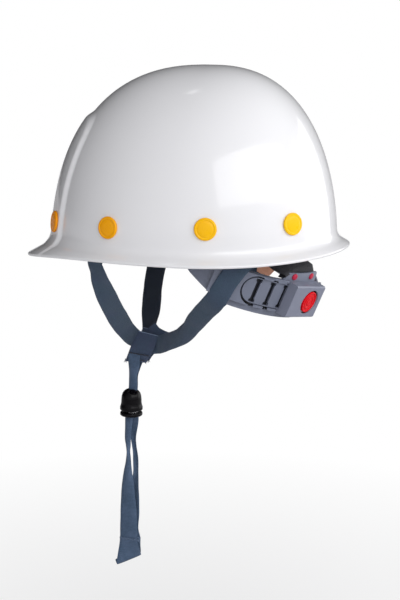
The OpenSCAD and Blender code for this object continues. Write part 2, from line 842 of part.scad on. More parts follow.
// Rear leg, over the nape arm and forward to the junction
rear_turn = 40;
chin_rear_route = [
  [[69, 83.5, -12], [-0.62, 0.73, -0.3]],
  [[79.6, 73, -19.2], [-0.5, 0.8, -0.33]],
  [[82.6, 66.4, -27], [-0.42, 0.84, -0.34]],
  [[86.2, 51.6, -39.8], [-0.35, 0.87, -0.35]],
  [[88, 41, -54], [-0.3, 0.84, -0.42]],
  [[74, 29, -66], [-0.3, 0.7, -0.6]],
  [[52, 9, -84], [-0.3, 0.7, -0.6]],
  [[30, -15, -100], [-0.35, 0.68, -0.58]],
  [[17, -34, -110], [-0.5, 0.65, -0.5]],
  [[11.6, -44, -115.2], [-0.67, 0.59, -0.44]],
  [[6.4, -50, -120.6], [-0.41, 0.78, -0.47]],
  [[4.9, -52, -125], [-0.14, 0.92, -0.36]]
];

// End of a leg on rivet i, turned on the rivet toward where the leg runs
function chin_lug(i, turn) =
  let (p = rivet_at(i), n = rivet_normal(i), head = clip_heading(i),
       level = [-head[1], head[0], 0], rise = cross(n, level),
       up = rise*cos(turn) + level*sin(turn),
       wide = level*cos(turn) - rise*sin(turn),
       mid = p - n*(chin_depth(i) + chin_t/2))
  [[mid + 7*up, wide], [mid - 9*up, wide]];

module chin_leg(i, turn, route) {
  color("steelblue")
  difference() {
    strap(concat(chin_lug(i, turn), route), chin_w, chin_t);
    at_rivet(i) cylinder(d = hole_d, h = 40, center = true);
  }
}

module chin_front_left() { chin_leg(1, 0, chin_front_route); }
module chin_rear_left() { chin_leg(3, rear_turn, chin_rear_route); }
module chin_front_right() { mirror([1, 0, 0]) chin_front_left(); }
module chin_rear_right() { mirror([1, 0, 0]) chin_rear_left(); }

// Folded webbing that joins both chin straps and carries the pull tapes
module chin_junction() {
  color("slateblue")
  rotate([90, 0, 90])
    translate([0, 0, -tab_half])
      linear_extrude(height = 2*tab_half)
        polygon([[-56, -106], [-37, -111], [-42, -123], [-48, tab_low],
                 [-67, tab_low], [-62, -120]]);
}

// One half of the tape pair; side is -1 for the front tape, 1 for the rear
module pull_tape(side) {
  color("steelblue")
  translate([0, tape_y, 0])
    intersection() {
      translate([-tape_t/2, side > 0 ? tape_gap/2 : -tape_gap/2 - tape_w,
                 tape_bottom])
        cube([tape_t, tape_w, tape_top - tape_bottom]);
      union() {
        translate([-tape_t, 0, tape_top - tape_round]) rotate([0, 90, 0])
          cylinder(r = tape_round, h = 2*tape_t);
        translate([-tape_t, -tape_round, tape_bottom - 1])
          cube([2*tape_t, 2*tape_round, tape_top - tape_round - tape_bottom + 1]);
      }
    }
}

module pull_tape_front() { pull_tape(-1); }
module pull_tape_rear() { pull_tape(1); }

// Sewn end of the tapes, rolled at the bottom
module tape_hem() {
  color("slateblue")
  translate([0, tape_y, tape_bottom - clear])
    difference() {
      union() {
        translate([-hem_t/2, -hem_w/2, -hem_h]) cube([hem_t, hem_w, hem_h]);
        translate([0, -hem_w/2, -hem_h]) rotate([-90, 0, 0])
          cylinder(d = hem_roll_d, h = hem_w);
      }
      translate([0, -hem_w/2 - 1, -hem_h]) rotate([-90, 0, 0])
        cylinder(d = 2.6, h = hem_w + 2);
    }
}

module lock_slot_cut() {
  cube([lock_slot[0], lock_slot[1], 120], center = true);
}

module lock_bell() {
  color("black")
  translate([0, tape_y, lock_top])
    difference() {
      rotate_extrude()
        polygon([[0, 0], [5.6, 0], [7, -1], [8, -2.8], [8.6, -5.5], [9, -11],
                 [9.4, -14.5], [10.1, -16.5], [10.1, -17.6],
                 [9.8, -bell_h], [0, -bell_h]]);
      translate([0, 0, -bell_h - 1])
        cylinder(r = bell_bore_r, h = bell_h - bell_roof + 1);
      lock_slot_cut();
    }
}

module lock_plug() {
  foot_top = lock_top - bell_h - plug_gap;
  color("black")
  translate([0, tape_y, foot_top])
    difference() {
      union() {
        rotate_extrude()
          polygon([[0, 0], [foot_r - 0.7, 0], [foot_r, -0.7],
                   [foot_r, -foot_h + 1.2], [foot_r - 1.2, -foot_h],
                   [0, -foot_h]]);
        cylinder(r = plug_r, h = plug_gap + plug_reach);
      }
      lock_slot_cut();
    }
}

module lock_spring() {
  color("silver")
  translate([0, tape_y, lock_top - bell_h - plug_gap + clear])
    coil((plug_r + bell_bore_r)/2, lock_wire, 6,
         bell_h + plug_gap - bell_roof - 2*clear);
}

shell();
shell_rivets();
rivet_washers();
hanger_clips();
headband();
headband_studs();
sweatband();
crown_strap_a();
crown_strap_b();
crown_strap_c();
crown_strap_d();
crown_pad();
cradle_strap_rear();
cradle_studs();
nape_arm_left();
nape_pad_left();
nape_band_right();
nape_pad_right();
adjuster_housing();
release_button();
latch_stirrup();
chin_front_left();
chin_rear_left();
chin_front_right();
chin_rear_right();
chin_junction();
pull_tape_front();
pull_tape_rear();
tape_hem();
lock_bell();
lock_plug();
lock_spring();
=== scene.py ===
from math import atan2, copysign, cos, degrees, exp, hypot, pi, radians, sin, sqrt, tan

import bpy
import numpy as np
from mathutils import Matrix, Vector


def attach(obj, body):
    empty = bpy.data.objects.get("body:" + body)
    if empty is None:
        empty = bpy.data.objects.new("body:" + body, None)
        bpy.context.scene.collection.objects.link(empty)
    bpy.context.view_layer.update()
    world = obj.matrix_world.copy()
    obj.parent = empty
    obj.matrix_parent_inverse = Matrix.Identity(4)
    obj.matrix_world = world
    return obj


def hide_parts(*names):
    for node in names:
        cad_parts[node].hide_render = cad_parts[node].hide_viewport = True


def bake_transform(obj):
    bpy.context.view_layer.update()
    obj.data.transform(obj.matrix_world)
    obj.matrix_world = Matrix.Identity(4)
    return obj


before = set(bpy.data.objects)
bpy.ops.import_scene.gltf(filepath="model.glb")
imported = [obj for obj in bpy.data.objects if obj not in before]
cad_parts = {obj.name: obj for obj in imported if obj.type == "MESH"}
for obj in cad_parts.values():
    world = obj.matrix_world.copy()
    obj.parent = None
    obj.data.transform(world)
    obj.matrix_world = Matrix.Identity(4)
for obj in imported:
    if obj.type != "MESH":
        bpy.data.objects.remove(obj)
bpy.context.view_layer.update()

# Lengths are in millimetres, as in the part's source. The places of the camera and the lamps,
# the floor, the cords and the grain of the materials are in metres.
MM = 0.001
SCENE = bpy.context.scene


# Camera at the photograph's place

CAMERA_PLACE = (1.1314, 0.3578, 0.1529)
CAMERA_RIGHT = (-0.304, 0.9525, 0.0175)
CAMERA_AHEAD = (-0.9366, -0.2955, -0.1883)
CAMERA_LENS = 83.79
SENSOR_WIDTH = 36


def add_object(name, data):
    made = bpy.data.objects.new(name, data)
    SCENE.collection.objects.link(made)
    return made


def unit(v):
    """A vector, or rows of vectors, at length 1."""
    v = np.asarray(v, float)
    return v/np.linalg.norm(v, axis=-1, keepdims=True)


def make_camera():
    right = unit(CAMERA_RIGHT)
    ahead = np.array(CAMERA_AHEAD)
    ahead = unit(ahead - right*ahead.dot(right))
    up = np.cross(right, ahead)
    data = bpy.data.cameras.new("camera")
    data.sensor_width = SENSOR_WIDTH
    data.lens = CAMERA_LENS
    data.clip_start = 0.01
    data.clip_end = 50
    camera = add_object("camera", data)
    turn = Matrix(np.column_stack((right, up, -ahead)).tolist()).to_4x4()
    camera.matrix_world = Matrix.Translation(CAMERA_PLACE) @ turn
    SCENE.camera = camera


make_camera()


# Small tools for meshes

def lerp(a, b, t):
    return a + (b - a)*t


def smooth(t):
    t = np.clip(t, 0, 1)
    return t*t*(3 - 2*t)


def shade_smooth(mesh, sharp=None):
    """Smooth faces, with edges kept sharp above an angle."""
    mesh.polygons.foreach_set("use_smooth", [True]*len(mesh.polygons))
    if sharp is not None:
        mesh.set_sharp_from_angle(angle=radians(sharp))


def make_object(name, points, faces, material, uv=None, sharp=None):
    """A mesh object from points in mm, with optional (u, v) in mm for each point."""
    mesh = bpy.data.meshes.new(name)
    mesh.from_pydata((np.asarray(points)*MM).tolist(), [], faces)
    mesh.validate()
    if uv is not None:
        layer = mesh.uv_layers.new(name="UVMap")
        corner = np.empty(len(mesh.loops), int)
        mesh.loops.foreach_get("vertex_index", corner)
        layer.data.foreach_set("uv", (np.asarray(uv)[corner]*MM).ravel())
    shade_smooth(mesh, sharp)
    mesh.materials.append(material)
    return add_object(name, mesh)


def grid_faces(rows, columns, wrap=True, base=0):
    """Quads between rows of points; wrap joins the last column to the first."""
    faces = []
    last = columns if wrap else columns - 1
    for r in range(rows - 1):
        for c in range(last):
            d = (c + 1) % columns
            a = base + r*columns
            b = a + columns
            faces.append((a + c, a + d, b + d, b + c))
    return faces


def turned(faces):
    """The same faces, looking the other way."""
    return [tuple(reversed(f)) for f in faces]


def tube_faces(rows, columns):
    """The wall of a tube of points and its two ends."""
    total = rows*columns
    ends = [tuple(range(columns)), tuple(range(total - 1, total - columns - 1, -1))]
    return grid_faces(rows, columns) + ends


def settle(piece, node, body="helmet"):
    """Put a piece in a node's place, on a body."""
    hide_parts(node)
    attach(piece, body)
    return piece


def join(name, pieces):
    """One object from several, with their materials kept."""
    points, faces, materials, picks, uvs = [], [], [], [], []
    for piece in pieces:
        mesh = piece.data
        base = len(points)
        points += [tuple(v.co) for v in mesh.vertices]
        slots = []
        for m in mesh.materials:
            if m not in materials:
                materials.append(m)
            slots.append(materials.index(m))
        layer = mesh.uv_layers.active
        for polygon in mesh.polygons:
            faces.append([base + v for v in polygon.vertices])
            picks.append(slots[polygon.material_index])
            for loop in polygon.loop_indices:
                uvs.append(tuple(layer.data[loop].uv) if layer else (0.0, 0.0))
        bpy.data.objects.remove(piece)
        bpy.data.meshes.remove(mesh)
    mesh = bpy.data.meshes.new(name)
    mesh.from_pydata(points, [], faces)
    mesh.polygons.foreach_set("material_index", picks)
    mesh.uv_layers.new(name="UVMap").data.foreach_set("uv", np.ravel(uvs))
    shade_smooth(mesh, 50)
    for m in materials:
        mesh.materials.append(m)
    return add_object(name, mesh)


# Materials

class Nodes:
    """A tree of shader nodes. An input goes by its name, or by its number after a low line."""

    def __init__(self, tree):
        self.tree = tree

    def add(self, kind, settings=None, **inputs):
        node = self.tree.nodes.new("ShaderNode" + kind)
        for key, value in (settings or {}).items():
            setattr(node, key, value)
        for key, value in inputs.items():
            self.feed(node.inputs[int(key[1:]) if key[0] == "_" else key], value)
        return node

    def feed(self, socket, value):
        if isinstance(value, bpy.types.NodeSocket):
            self.tree.links.new(value, socket)
        else:
            socket.default_value = value

    def math(self, operation, a, b=0.0):
        return self.add("Math", {"operation": operation}, _0=a, _1=b).outputs[0]

    def spread(self, value, low, high, to_low, to_high, kind="LINEAR"):
        """A value from one range mapped to another."""
        node = self.add("MapRange", {"interpolation_type": kind}, _0=value, _1=low, _2=high,
                        _3=to_low, _4=to_high)
        return node.outputs[0]

    def seen(self):
        """1 where the camera looks, 0 for reflected and other light."""
        return self.add("LightPath").outputs["Is Camera Ray"]

    def either(self, share, first, second):
        """The first surface at a share of 0, the second at 1."""
        return self.add("MixShader", _0=share, _1=first, _2=second).outputs[0]

    def show(self, output, share, first, second):
        self.feed(self.tree.nodes[output].inputs["Surface"], self.either(share, first, second))


class Shader(Nodes):
    """A Principled material."""

    def __init__(self, name, colour, rough, **sockets):
        self.material = bpy.data.materials.new(name)
        self.material.use_nodes = True
        super().__init__(self.material.node_tree)
        self.surface = self.tree.nodes["Principled BSDF"]
        self.surface.inputs["Base Color"].default_value = (*colour, 1)
        self.surface.inputs["Roughness"].default_value = rough
        for key, value in sockets.items():
            self.surface.inputs[key.replace("_", " ")].default_value = value

    def place(self, kind="Object"):
        return self.add("TexCoord").outputs[kind]

    def noise(self, scale, detail=3.0, rough=0.55, where=None):
        where = where or self.place()
        node = self.add("TexNoise", Scale=scale, Detail=detail, Roughness=rough, Vector=where)
        return node.outputs[0]

    def mix(self, share, first, second):
        """A colour between two, by a share from 0 to 1."""
        pair = [c if isinstance(c, bpy.types.NodeSocket) else (*c, 1) for c in (first, second)]
        return self.add("Mix", {"data_type": "RGBA"}, _0=share, _6=pair[0], _7=pair[1]).outputs[2]

    def colour(self, share, first, second):
        self.feed(self.surface.inputs["Base Color"], self.mix(share, first, second))

    def roughness(self, value, low, high, top=0.7):
        """Roughness from low to high, as a noise goes from 0.3 to top."""
        self.feed(self.surface.inputs["Roughness"], self.spread(value, 0.3, top, low, high))

    def bump(self, height, distance, strength=1.0, edges=None):
        """Relief in the surface; edges is the radius by which sharp edges look rounded."""
        node = self.add("Bump", Strength=strength, Distance=distance, Height=height)
        if edges is not None:
            round_off = self.add("Bevel", {"samples": 6}, Radius=edges)
            self.feed(node.inputs["Normal"], round_off.outputs[0])
        self.feed(self.surface.inputs["Normal"], node.outputs[0])


def shades(colour, dark, light):
    """A darker and a lighter shade of a colour."""
    return [c*dark for c in colour], [min(1, c*light) for c in colour]


def gloss_shell():
    s = Shader("shell_white", (0.87, 0.87, 0.885), 0.16, Coat_Weight=0.6, Coat_Roughness=0.04)
    s.roughness(s.noise(60), 0.12, 0.2)
    s.colour(s.noise(9), (0.86, 0.858, 0.878), (0.878, 0.877, 0.89))
    s.bump(s.noise(14, 1.5), 0.00025, 0.35)
    return s.material


def rivet_painted_light():
    """Orange plastic with painted light: yellower towards the rear, where the key light falls, and redder
    towards the front as painted shade.
    """
    s = Shader("rivet_orange", (0.95, 0.45, 0.0), 0.3, Coat_Weight=0.12, Coat_Roughness=0.12,
               Specular_IOR_Level=0.2)
    # Colour by place along Y: painted light on the key lamp's side, painted shade towards the front.
    along = s.add("SeparateXYZ", Vector=s.place()).outputs[1]
    s.colour(s.spread(along, -0.12, 0.07, 0.0, 1.0), (1.0, 0.32, 0.0), (1.0, 0.58, 0.0))
    s.roughness(s.noise(250), 0.24, 0.38)
    s.bump(s.noise(900), 0.00005, 0.4)
    return s.material


def moulded(name, colour, rough=0.42, grain=2600):
    """Satin injection-moulded plastic with a fine grain."""
    s = Shader(name, colour, rough)
    s.colour(s.noise(45), *shades(colour, 0.86, 1.12))
    s.roughness(s.noise(160), rough - 0.07, rough + 0.09)
    s.bump(s.noise(grain, 2), 0.00004, 0.5, edges=0.0005)
    return s.material


def glossy(name, colour, rough, shine):
    """Polished plastic with faint marks from handling."""
    s = Shader(name, colour, rough, Coat_Weight=shine/3, Coat_Roughness=0.05, Specular_IOR_Level=shine)
    s.roughness(s.noise(320), rough - 0.06, rough + 0.12, top=0.75)
    s.bump(s.noise(70, 1), 0.0001, 0.25, edges=0.0004)
    return s.material


def metal(name, colour):
    """Zinc-plated steel with fine drawn marks."""
    s = Shader(name, colour, 0.32, Metallic=1.0)
    stretched = s.add("Mapping", Vector=s.place(), Scale=(300, 300, 4000))
    marks = s.noise(1.0, 2, where=stretched.outputs[0])
    s.roughness(marks, 0.24, 0.46)
    s.bump(marks, 0.00003, 0.5, edges=0.0003)
    return s.material


def leather(name, colour):
    """Soft synthetic leather: pebbled cells and paler worn spots."""
    s = Shader(name, colour, 0.62, Sheen_Weight=0.25)
    cells = s.add("TexVoronoi", {"feature": "SMOOTH_F1"}, Scale=620.0, Vector=s.place()).outputs[0]
    s.colour(s.noise(70), *shades(colour, 0.82, 1.15))
    s.bump(cells, 0.0002, 0.55)
    return s.material


def woven(name, colour, patch, pitch=0.0009, rib=0.0011):
    """Webbing: a plain weave on the strap's own (u, v), with faint patches from dyeing, and painted shade:
    the colour is darker in the low spots of the weave's relief.
    """
    s = Shader(name, colour, 0.74, Sheen_Weight=0.12, Sheen_Roughness=0.5)
    uv = s.add("SeparateXYZ", Vector=s.place("UV"))
    across = s.math("MULTIPLY", uv.outputs[0], 2*pi/rib)
    along = s.math("MULTIPLY", uv.outputs[1], 2*pi/pitch)
    slant = s.math("SINE", s.math("ADD", along, across))
    weave = s.math("MULTIPLY", slant, s.math("SINE", across))
    fuzz = s.noise(900, 4)
    height = s.math("ADD", s.math("MULTIPLY", weave, 0.5), s.math("MULTIPLY", fuzz, 1.2))
    # Colour follows the relief's height, darker in its low spots: painted shade.
    shade = s.spread(height, 0.1, 1.1, 0.0, 1.0)
    cloud = s.spread(s.noise(75, 3), 0.42, 0.68, 0.0, 0.5)
    s.colour(cloud, s.mix(shade, *shades(colour, 0.66, 1.3)), patch)
    s.bump(height, 0.00012, 0.8)
    return s.material


WHITE = gloss_shell()
ORANGE = rivet_painted_light()
SLATE = woven("web_slate", (0.036, 0.066, 0.108), (0.043, 0.062, 0.12))
# A darker copy of the slate webbing for the far front leg: painted shade from the shell.
SLATE_PAINTED_SHADE = woven("web_slate_painted_shade", (0.012, 0.023, 0.045), (0.014, 0.022, 0.05))
NAVY = woven("web_slate_tab", (0.036, 0.06, 0.11), (0.045, 0.055, 0.115))
TAPE = woven("web_slate_tape", (0.045, 0.083, 0.148), (0.095, 0.14, 0.235), 0.0013, 0.0016)
GREY_WEB = woven("web_grey", (0.10, 0.115, 0.15), (0.11, 0.12, 0.15))
BLACK_WEB = woven("web_black", (0.012, 0.012, 0.017), (0.02, 0.02, 0.026))
DARK_THREAD = leather("sewing_thread_dark", (0.012, 0.015, 0.03))
THREAD = leather("sewing_thread", (0.14, 0.2, 0.31))
TAN = leather("foam_tan", (0.56, 0.39, 0.22))
SALMON = leather("foam_salmon", (0.86, 0.42, 0.27))
CLIP = moulded("clip_plastic", (0.075, 0.08, 0.1))
BAND = moulded("band_plastic", (0.165, 0.183, 0.245), 0.36)
BOX = moulded("box_plastic", (0.2, 0.215, 0.285), 0.42, 1800)
# Near-black plastic for faces cut in grooves, pockets, notches and the button's well: painted shade.
RECESS_PAINTED_SHADE = moulded("recess_painted_shade", (0.016, 0.018, 0.026), 0.5)
STUD = moulded("stud_plastic", (0.04, 0.045, 0.06))
RED_STUD = glossy("stud_red", (0.55, 0.03, 0.07), 0.28, 0.15)
RED = glossy("button_red", (0.7, 0.003, 0.01), 0.34, 0.1)
STEEL = metal("washer_steel", (0.55, 0.55, 0.57))
SPRING = metal("latch_steel", (0.66, 0.66, 0.68))
BLACK = glossy("lock_black", (0.0015, 0.001, 0.002), 0.14, 0.13)


# The tapes that hang from the chin strap, with their hem

TAPE_Y = -61.5


def curve_through(rows, step=1.5):
    """Catmull-Rom curve through a strap's rows: point, width's direction, width and fold."""
    rows = np.array([[*place, *unit(side), *rest, 0.0][:8] for place, side, *rest in rows])
    ends = np.vstack((2*rows[0] - rows[1], rows, 2*rows[-1] - rows[-2]))
    out = []
    for i in range(len(rows) - 1):
        a, b, c, d = ends[i:i + 4]
        n = max(2, int(np.linalg.norm((c - b)[:3])/step))
        for t in np.arange(n)/n:
            out.append(0.5*(2*b + (c - a)*t + (2*a - 5*b + 4*c - d)*t*t
                            + (3*b - a - 3*c + d)*t**3))
    return np.array([*out, rows[-1]])


def ribbon(name, rows, thick, material, step=1.5, square=True, waves=0.0, seed=0):
    """A woven strap. Each row is a point, the direction of its width, its width and, if it is
    folded lengthwise, the depth of that fold."""
    line = curve_through(rows, step)
    points, side, widths, folds = line[:, :3], line[:, 3:6], line[:, 6], line[:, 7]
    along = unit(np.gradient(points, axis=0))
    if square:
        side = side - along*(side*along).sum(1)[:, None]
    side = unit(side)
    face = unit(np.cross(along, side))
    length = np.concatenate(([0], np.cumsum(np.linalg.norm(np.diff(points, axis=0), axis=1))))
    across = np.sin(np.linspace(-1, 1, 9)*pi/2)
    depth = np.sqrt(np.clip(1 - np.abs(across)**6, 0, 1))*0.5
    profile = [*zip(across, depth), *zip(across[-2:0:-1], -depth[-2:0:-1])]
    phase = np.random.default_rng(seed).uniform(0, 6.28, 4)
    sway = waves*(np.sin(length/9 + phase[0]) + 0.6*np.sin(length/4.3 + phase[1]))
    ruffle = waves*(np.sin(length/6.1 + phase[2]) + 0.5*np.sin(length/2.7 + phase[3]))
    rings, uvs = [], []
    for u, h in profile:
        bow = folds*(1 - u*u) + sway*u*0.5 + ruffle*(1 - u*u)*0.5
        reach = u*(widths/2 + ruffle*0.4)
        rings.append(points + side*reach[:, None] + face*(h*thick + bow)[:, None])
        uvs.append(np.column_stack((u*widths/2, length)))
    faces = turned(tube_faces(len(points), len(profile)))
    surface = np.stack(rings, 1).reshape(-1, 3)
    uv = np.stack(uvs, 1).reshape(-1, 2)
    return make_object(name, surface, faces, material, uv=uv, sharp=60)


# Height, front and rear edge measured from TAPE_Y, turn, depth of the fold, and x. Both tapes
# start alike, as mirror images.
TAPE_START = [(-125.8, -0.6, 10.7, 0, 0, 7.0), (-130.5, -1.2, 9.8, 0, 0.2, 5.9),
              (-135, -1.5, 9.0, 0, 0.6, 4.4), (-140, -1.8, 7.5, 0, 1.2, 2.3),
              (-147, -2.2, 5.6, 0.1, 1.6, 1.0), (-157, -2.4, 5.6, 0, 0.7, 0.75)]
FRONT_TAPE = [(-172, -3.6, 4.4, 0, 0, 0.72), (-186, -5.4, 2.0, 0, 0.8, 0.8),
              (-204, -6.0, 0.6, 0.2, 1.8, 0.9), (-212, -4.4, 0.1, 0.1, 2.4, 1.0),
              (-217.5, -3.4, -0.6, 0, 2.8, 1.0), (-226, -4.4, 0.4, -0.1, 2.4, 1.0),
              (-237, -6.6, 1.8, 0, 2.0, 1.0), (-249, -8.2, 3.6, 0.05, 1.6, 1.1),
              (-273, -9.2, 6.3, 0, 1.0, 1.2), (-299, -9.3, 7.5, 0, 0.3, 1.3)]
REAR_TAPE = [(-172, -2.2, 5.4, 0, 0, -0.72), (-186, -1.4, 6.7, 0, -0.8, -0.8),
             (-204, -0.8, 4.5, 0, -1.8, -0.9), (-212, 0.3, 4.9, 0, -2.0, -1.0),
             (-222, 1.6, 6.4, 0, -1.8, -1.0), (-237, 1.9, 6.9, 0, -1.6, -1.0),
             (-249, -0.5, 7.4, 0, -1.6, -1.1), (-273, -5.0, 8.1, 0, -1.2, -1.2),
             (-290, -7.0, 7.4, 0, -0.6, -1.3), (-299, -8.0, 9.4, 0, -0.2, -1.4)]
TAPE_T = 1.1
HEM_TOP = -299
ROLL_TURN = 500
ROLL_R = (2.9, 0.9)
ROLL_W = 23.4


def tape_rows(sign, rest):
    """A tape's rows: its start, mirrored where sign is -1, and the rest of its way down."""
    start = [(z, front, rear, sign*turn, sign*fold, sign*x)
             for z, front, rear, turn, fold, x in TAPE_START]
    rows = []
    for z, front, rear, turn, fold, x in start + rest:
        side = (sin(turn), cos(turn), 0)
        rows.append(((x, TAPE_Y + (front + rear)/2, z), side, rear - front, fold))
    return rows


def make_hem():
    """The sewn end of both tapes: a sheet that widens, slants and rolls up, with loose threads."""
    axis = unit((-0.5, 0.82, 0.34))
    front = unit(np.cross(axis, (0, 0, 1)))
    down = np.cross(axis, front)
    middle = np.array((0.2, TAPE_Y - 1.9, -317.4))
    rows = [((2.2, TAPE_Y - 0.9, -298.2), (0, 1, 0), 16.9),
            ((2.2, TAPE_Y - 0.7, -302), (-0.02, 1, 0.02), 17.2),
            ((2.3, TAPE_Y - 0.4, -307), (-0.15, 1, 0.05), 18.4),
            ((2.7, TAPE_Y - 0.4, -312), (-0.34, 0.92, 0.18), 20.2)]
    for t in np.arange(34)/33:
        turn = radians(lerp(0, ROLL_TURN, t))
        r = lerp(*ROLL_R, t)
        rows.append((middle + front*r*cos(turn) + down*r*sin(turn), axis, ROLL_W))
    made = [ribbon("roll", rows, TAPE_T, TAPE, step=0.8, square=False, waves=0.1, seed=9)]
    rows = [((-2.2, TAPE_Y + 0.4, -298.0), (0, 1, 0), 17.6),
            ((-2.1, TAPE_Y + 0.2, -305), (0, 1, 0.05), 18.0),
            ((-2.3, TAPE_Y - 0.4, -310.5), (-0.25, 0.95, 0.15), 18.8),
            ((-2.8, TAPE_Y - 1.4, -315.0), (-0.48, 0.83, 0.32), 20.5)]
    made.append(ribbon("back", rows, TAPE_T, TAPE, step=1.2, waves=0.1, seed=10))
    draw = np.random.default_rng(7)
    across = (1, 0, 0)
    for i in range(17):
        y = TAPE_Y - 9 + 17*i/16
        lift = draw.uniform(-0.8, 0.8)
        out = draw.uniform(0.3, 0.9)
        for sign in (1, -1):
            x = sign*2.85
            ends = [((x, y - 0.5, HEM_TOP - 0.6 + lift*0.4), across, 0.4),
                    ((x + sign*out*0.4, y, HEM_TOP - 0.3 + lift*0.7), across, 0.4),
                    ((x, y + 0.6, HEM_TOP + lift), across, 0.4)]
            made.append(ribbon("thread", ends, 0.35, THREAD, step=0.35))
    for i in range(5):
        y = TAPE_Y + 7.4 + draw.uniform(-0.4, 0.6)
        z = HEM_TOP + 2.5 - draw.uniform(0, 5)
        reach = draw.uniform(1.4, 3.2)
        ends = [((1.6, y, z), across, 0.3), ((1.9, y + reach*0.6, z - 0.2), across, 0.28),
                ((1.7, y + reach, z - draw.uniform(0.4, 1.8)), across, 0.2)]
        made.append(ribbon("loose_thread", ends, 0.28, THREAD, step=0.5))
    return join("tape_hem_sewn", made)


def make_tapes():
    hem = settle(make_hem(), "tape_hem", "pull_tape")
    for name, sign, shape, seed in (("pull_tape_front", 1, FRONT_TAPE, 3),
                                    ("pull_tape_rear", -1, REAR_TAPE, 5)):
        rows = tape_rows(sign, shape)
        piece = ribbon(name + "_woven", rows, TAPE_T, TAPE, waves=0.3, seed=seed)
        settle(piece, name, "pull_tape")


make_tapes()


# Shell, from the same shape as the part's source

HALF_WIDTH = 104.5
FRONT = 118.5
REAR = 124.0
HEIGHT = 146.5
WALL = 2.6
MID_Y = -7.0
BASE = -20.0
SHIFT = 17.0
SQUARE = 2.16
LEAN = 0.06
# Three values are those ahead, behind and at the sides.
BULGE = ((3.13, 1.92, 2.6), (2.56, 2.25, 2.15))
RIM_REACH = (24.0, 10.7, 9.5)
PANEL_HALF = 40.3
PANEL_STEP = 1.3
PANEL_TOP = 104.0
PANEL_CORNER = 8
PANEL_FADE = (14, 10)
PANEL_RISE = 3.0
RIM_SIDE = -8.7
RIM_FRONT_DROP = 11.5
RIM_REAR_LIFT = 6.6
RIM_EDGE = 3.0
FLARE = radians(65)
FILLET_SIDE = 9
FILLET_GAIN = 0.41
BEAD = 1.45


def by_side(a, front, rear, side):
    """A value at a plan angle from those ahead, behind and at the sides."""
    return lerp(side, np.where(np.sin(a) < 0, front, rear), np.sin(a)**2)


def panel(a, up):
    """1 on the raised front panel, 0 beside it."""
    off_front = np.abs((np.degrees(a) + 630) % 360 - 180)
    edge = (off_front/PANEL_HALF)**PANEL_CORNER + (np.maximum(up, 0)/PANEL_TOP)**PANEL_CORNER
    band = 2*PANEL_CORNER*PANEL_STEP/PANEL_HALF
    return smooth((1 + band/2 - edge)/band)*smooth((up + PANEL_FADE[0])/PANEL_FADE[1])


def signed_power(v, e):
    return np.sign(v)*np.abs(v)**e


def dome_point(a, up, inset=0.0, out=0.0):
    """Point of the dome at plan angle a and height up; out widens its plan."""
    a, up, out = np.broadcast_arrays(np.asarray(a, float), np.asarray(up, float), out)
    h = HEIGHT - inset
    t = np.clip(up/h, 0, 1)
    p, q = (by_side(a, *row) for row in BULGE)
    s = np.maximum(0, 1 - t**p)**(1/q)*(1 + LEAN*(1 - t))/(1 + LEAN)
    reach = np.where(np.sin(a) < 0, FRONT, REAR)
    x = (HALF_WIDTH - inset + out)*s*signed_power(np.cos(a), 2/SQUARE)
    y = (reach - inset + out)*s*signed_power(np.sin(a), 2/SQUARE)
    rise = 1 + PANEL_RISE*panel(a, up)/np.maximum(1, np.hypot(x, y))
    return np.stack((x*rise, MID_Y + y*rise + SHIFT*t**1.5, BASE + up), -1)


def crown_levels(start, count):
    """Heights from a level up to the crown, closer together near it."""
    return [start + (HEIGHT - start)*sin(pi/2*i/count) for i in range(1, count)]


def shell_rows(a):
    """Rows of points round the shell: down the outside, round the rim, up the inside."""
    out = by_side(a, *RIM_REACH)
    ahead = np.sin(a)
    low = RIM_SIDE + np.where(ahead < 0, -RIM_FRONT_DROP*ahead**4, RIM_REAR_LIFT*np.abs(ahead)**2.6)
    r = FILLET_SIDE + FILLET_GAIN*(out - RIM_REACH[2])
    top = low + RIM_EDGE + r*sin(FLARE) + (out - r*(1 - cos(FLARE)))/tan(FLARE)
    crown_foot, wall_foot = PANEL_TOP + 3, 26
    rows = [dome_point(a, up) for up in reversed(crown_levels(crown_foot, 18))]
    panel_edge = [crown_foot - 0.75*i for i in range(25)]
    wall = [lerp(panel_edge[-1], wall_foot, i/14) for i in range(1, 15)]
    wall += [lerp(wall_foot, top, i/5) for i in range(1, 5)]
    rows += [dome_point(a, up) for up in panel_edge + wall]
    flares = FLARE*np.arange(11)/10
    rows += [dome_point(a, top - r*sin(f), 0, r*(1 - cos(f))) for f in flares]
    for f in np.radians(np.linspace(60, -140, 9)):
        rows.append(dome_point(a, low + BEAD + 0.1 + BEAD*sin(f), 0, out - BEAD + BEAD*cos(f)))
    inner = r + WALL
    rows += [dome_point(a, top - inner*sin(f), 0, r - inner*cos(f)) for f in flares[-2::-1]]
    shrink = (HEIGHT - WALL)/HEIGHT
    crown_foot = PANEL_TOP + 1.5
    levels = [*range(20, 93, 9), PANEL_TOP - 1.5, crown_foot, *crown_levels(crown_foot, 12)]
    return rows + [dome_point(a, up*shrink, WALL) for up in levels]


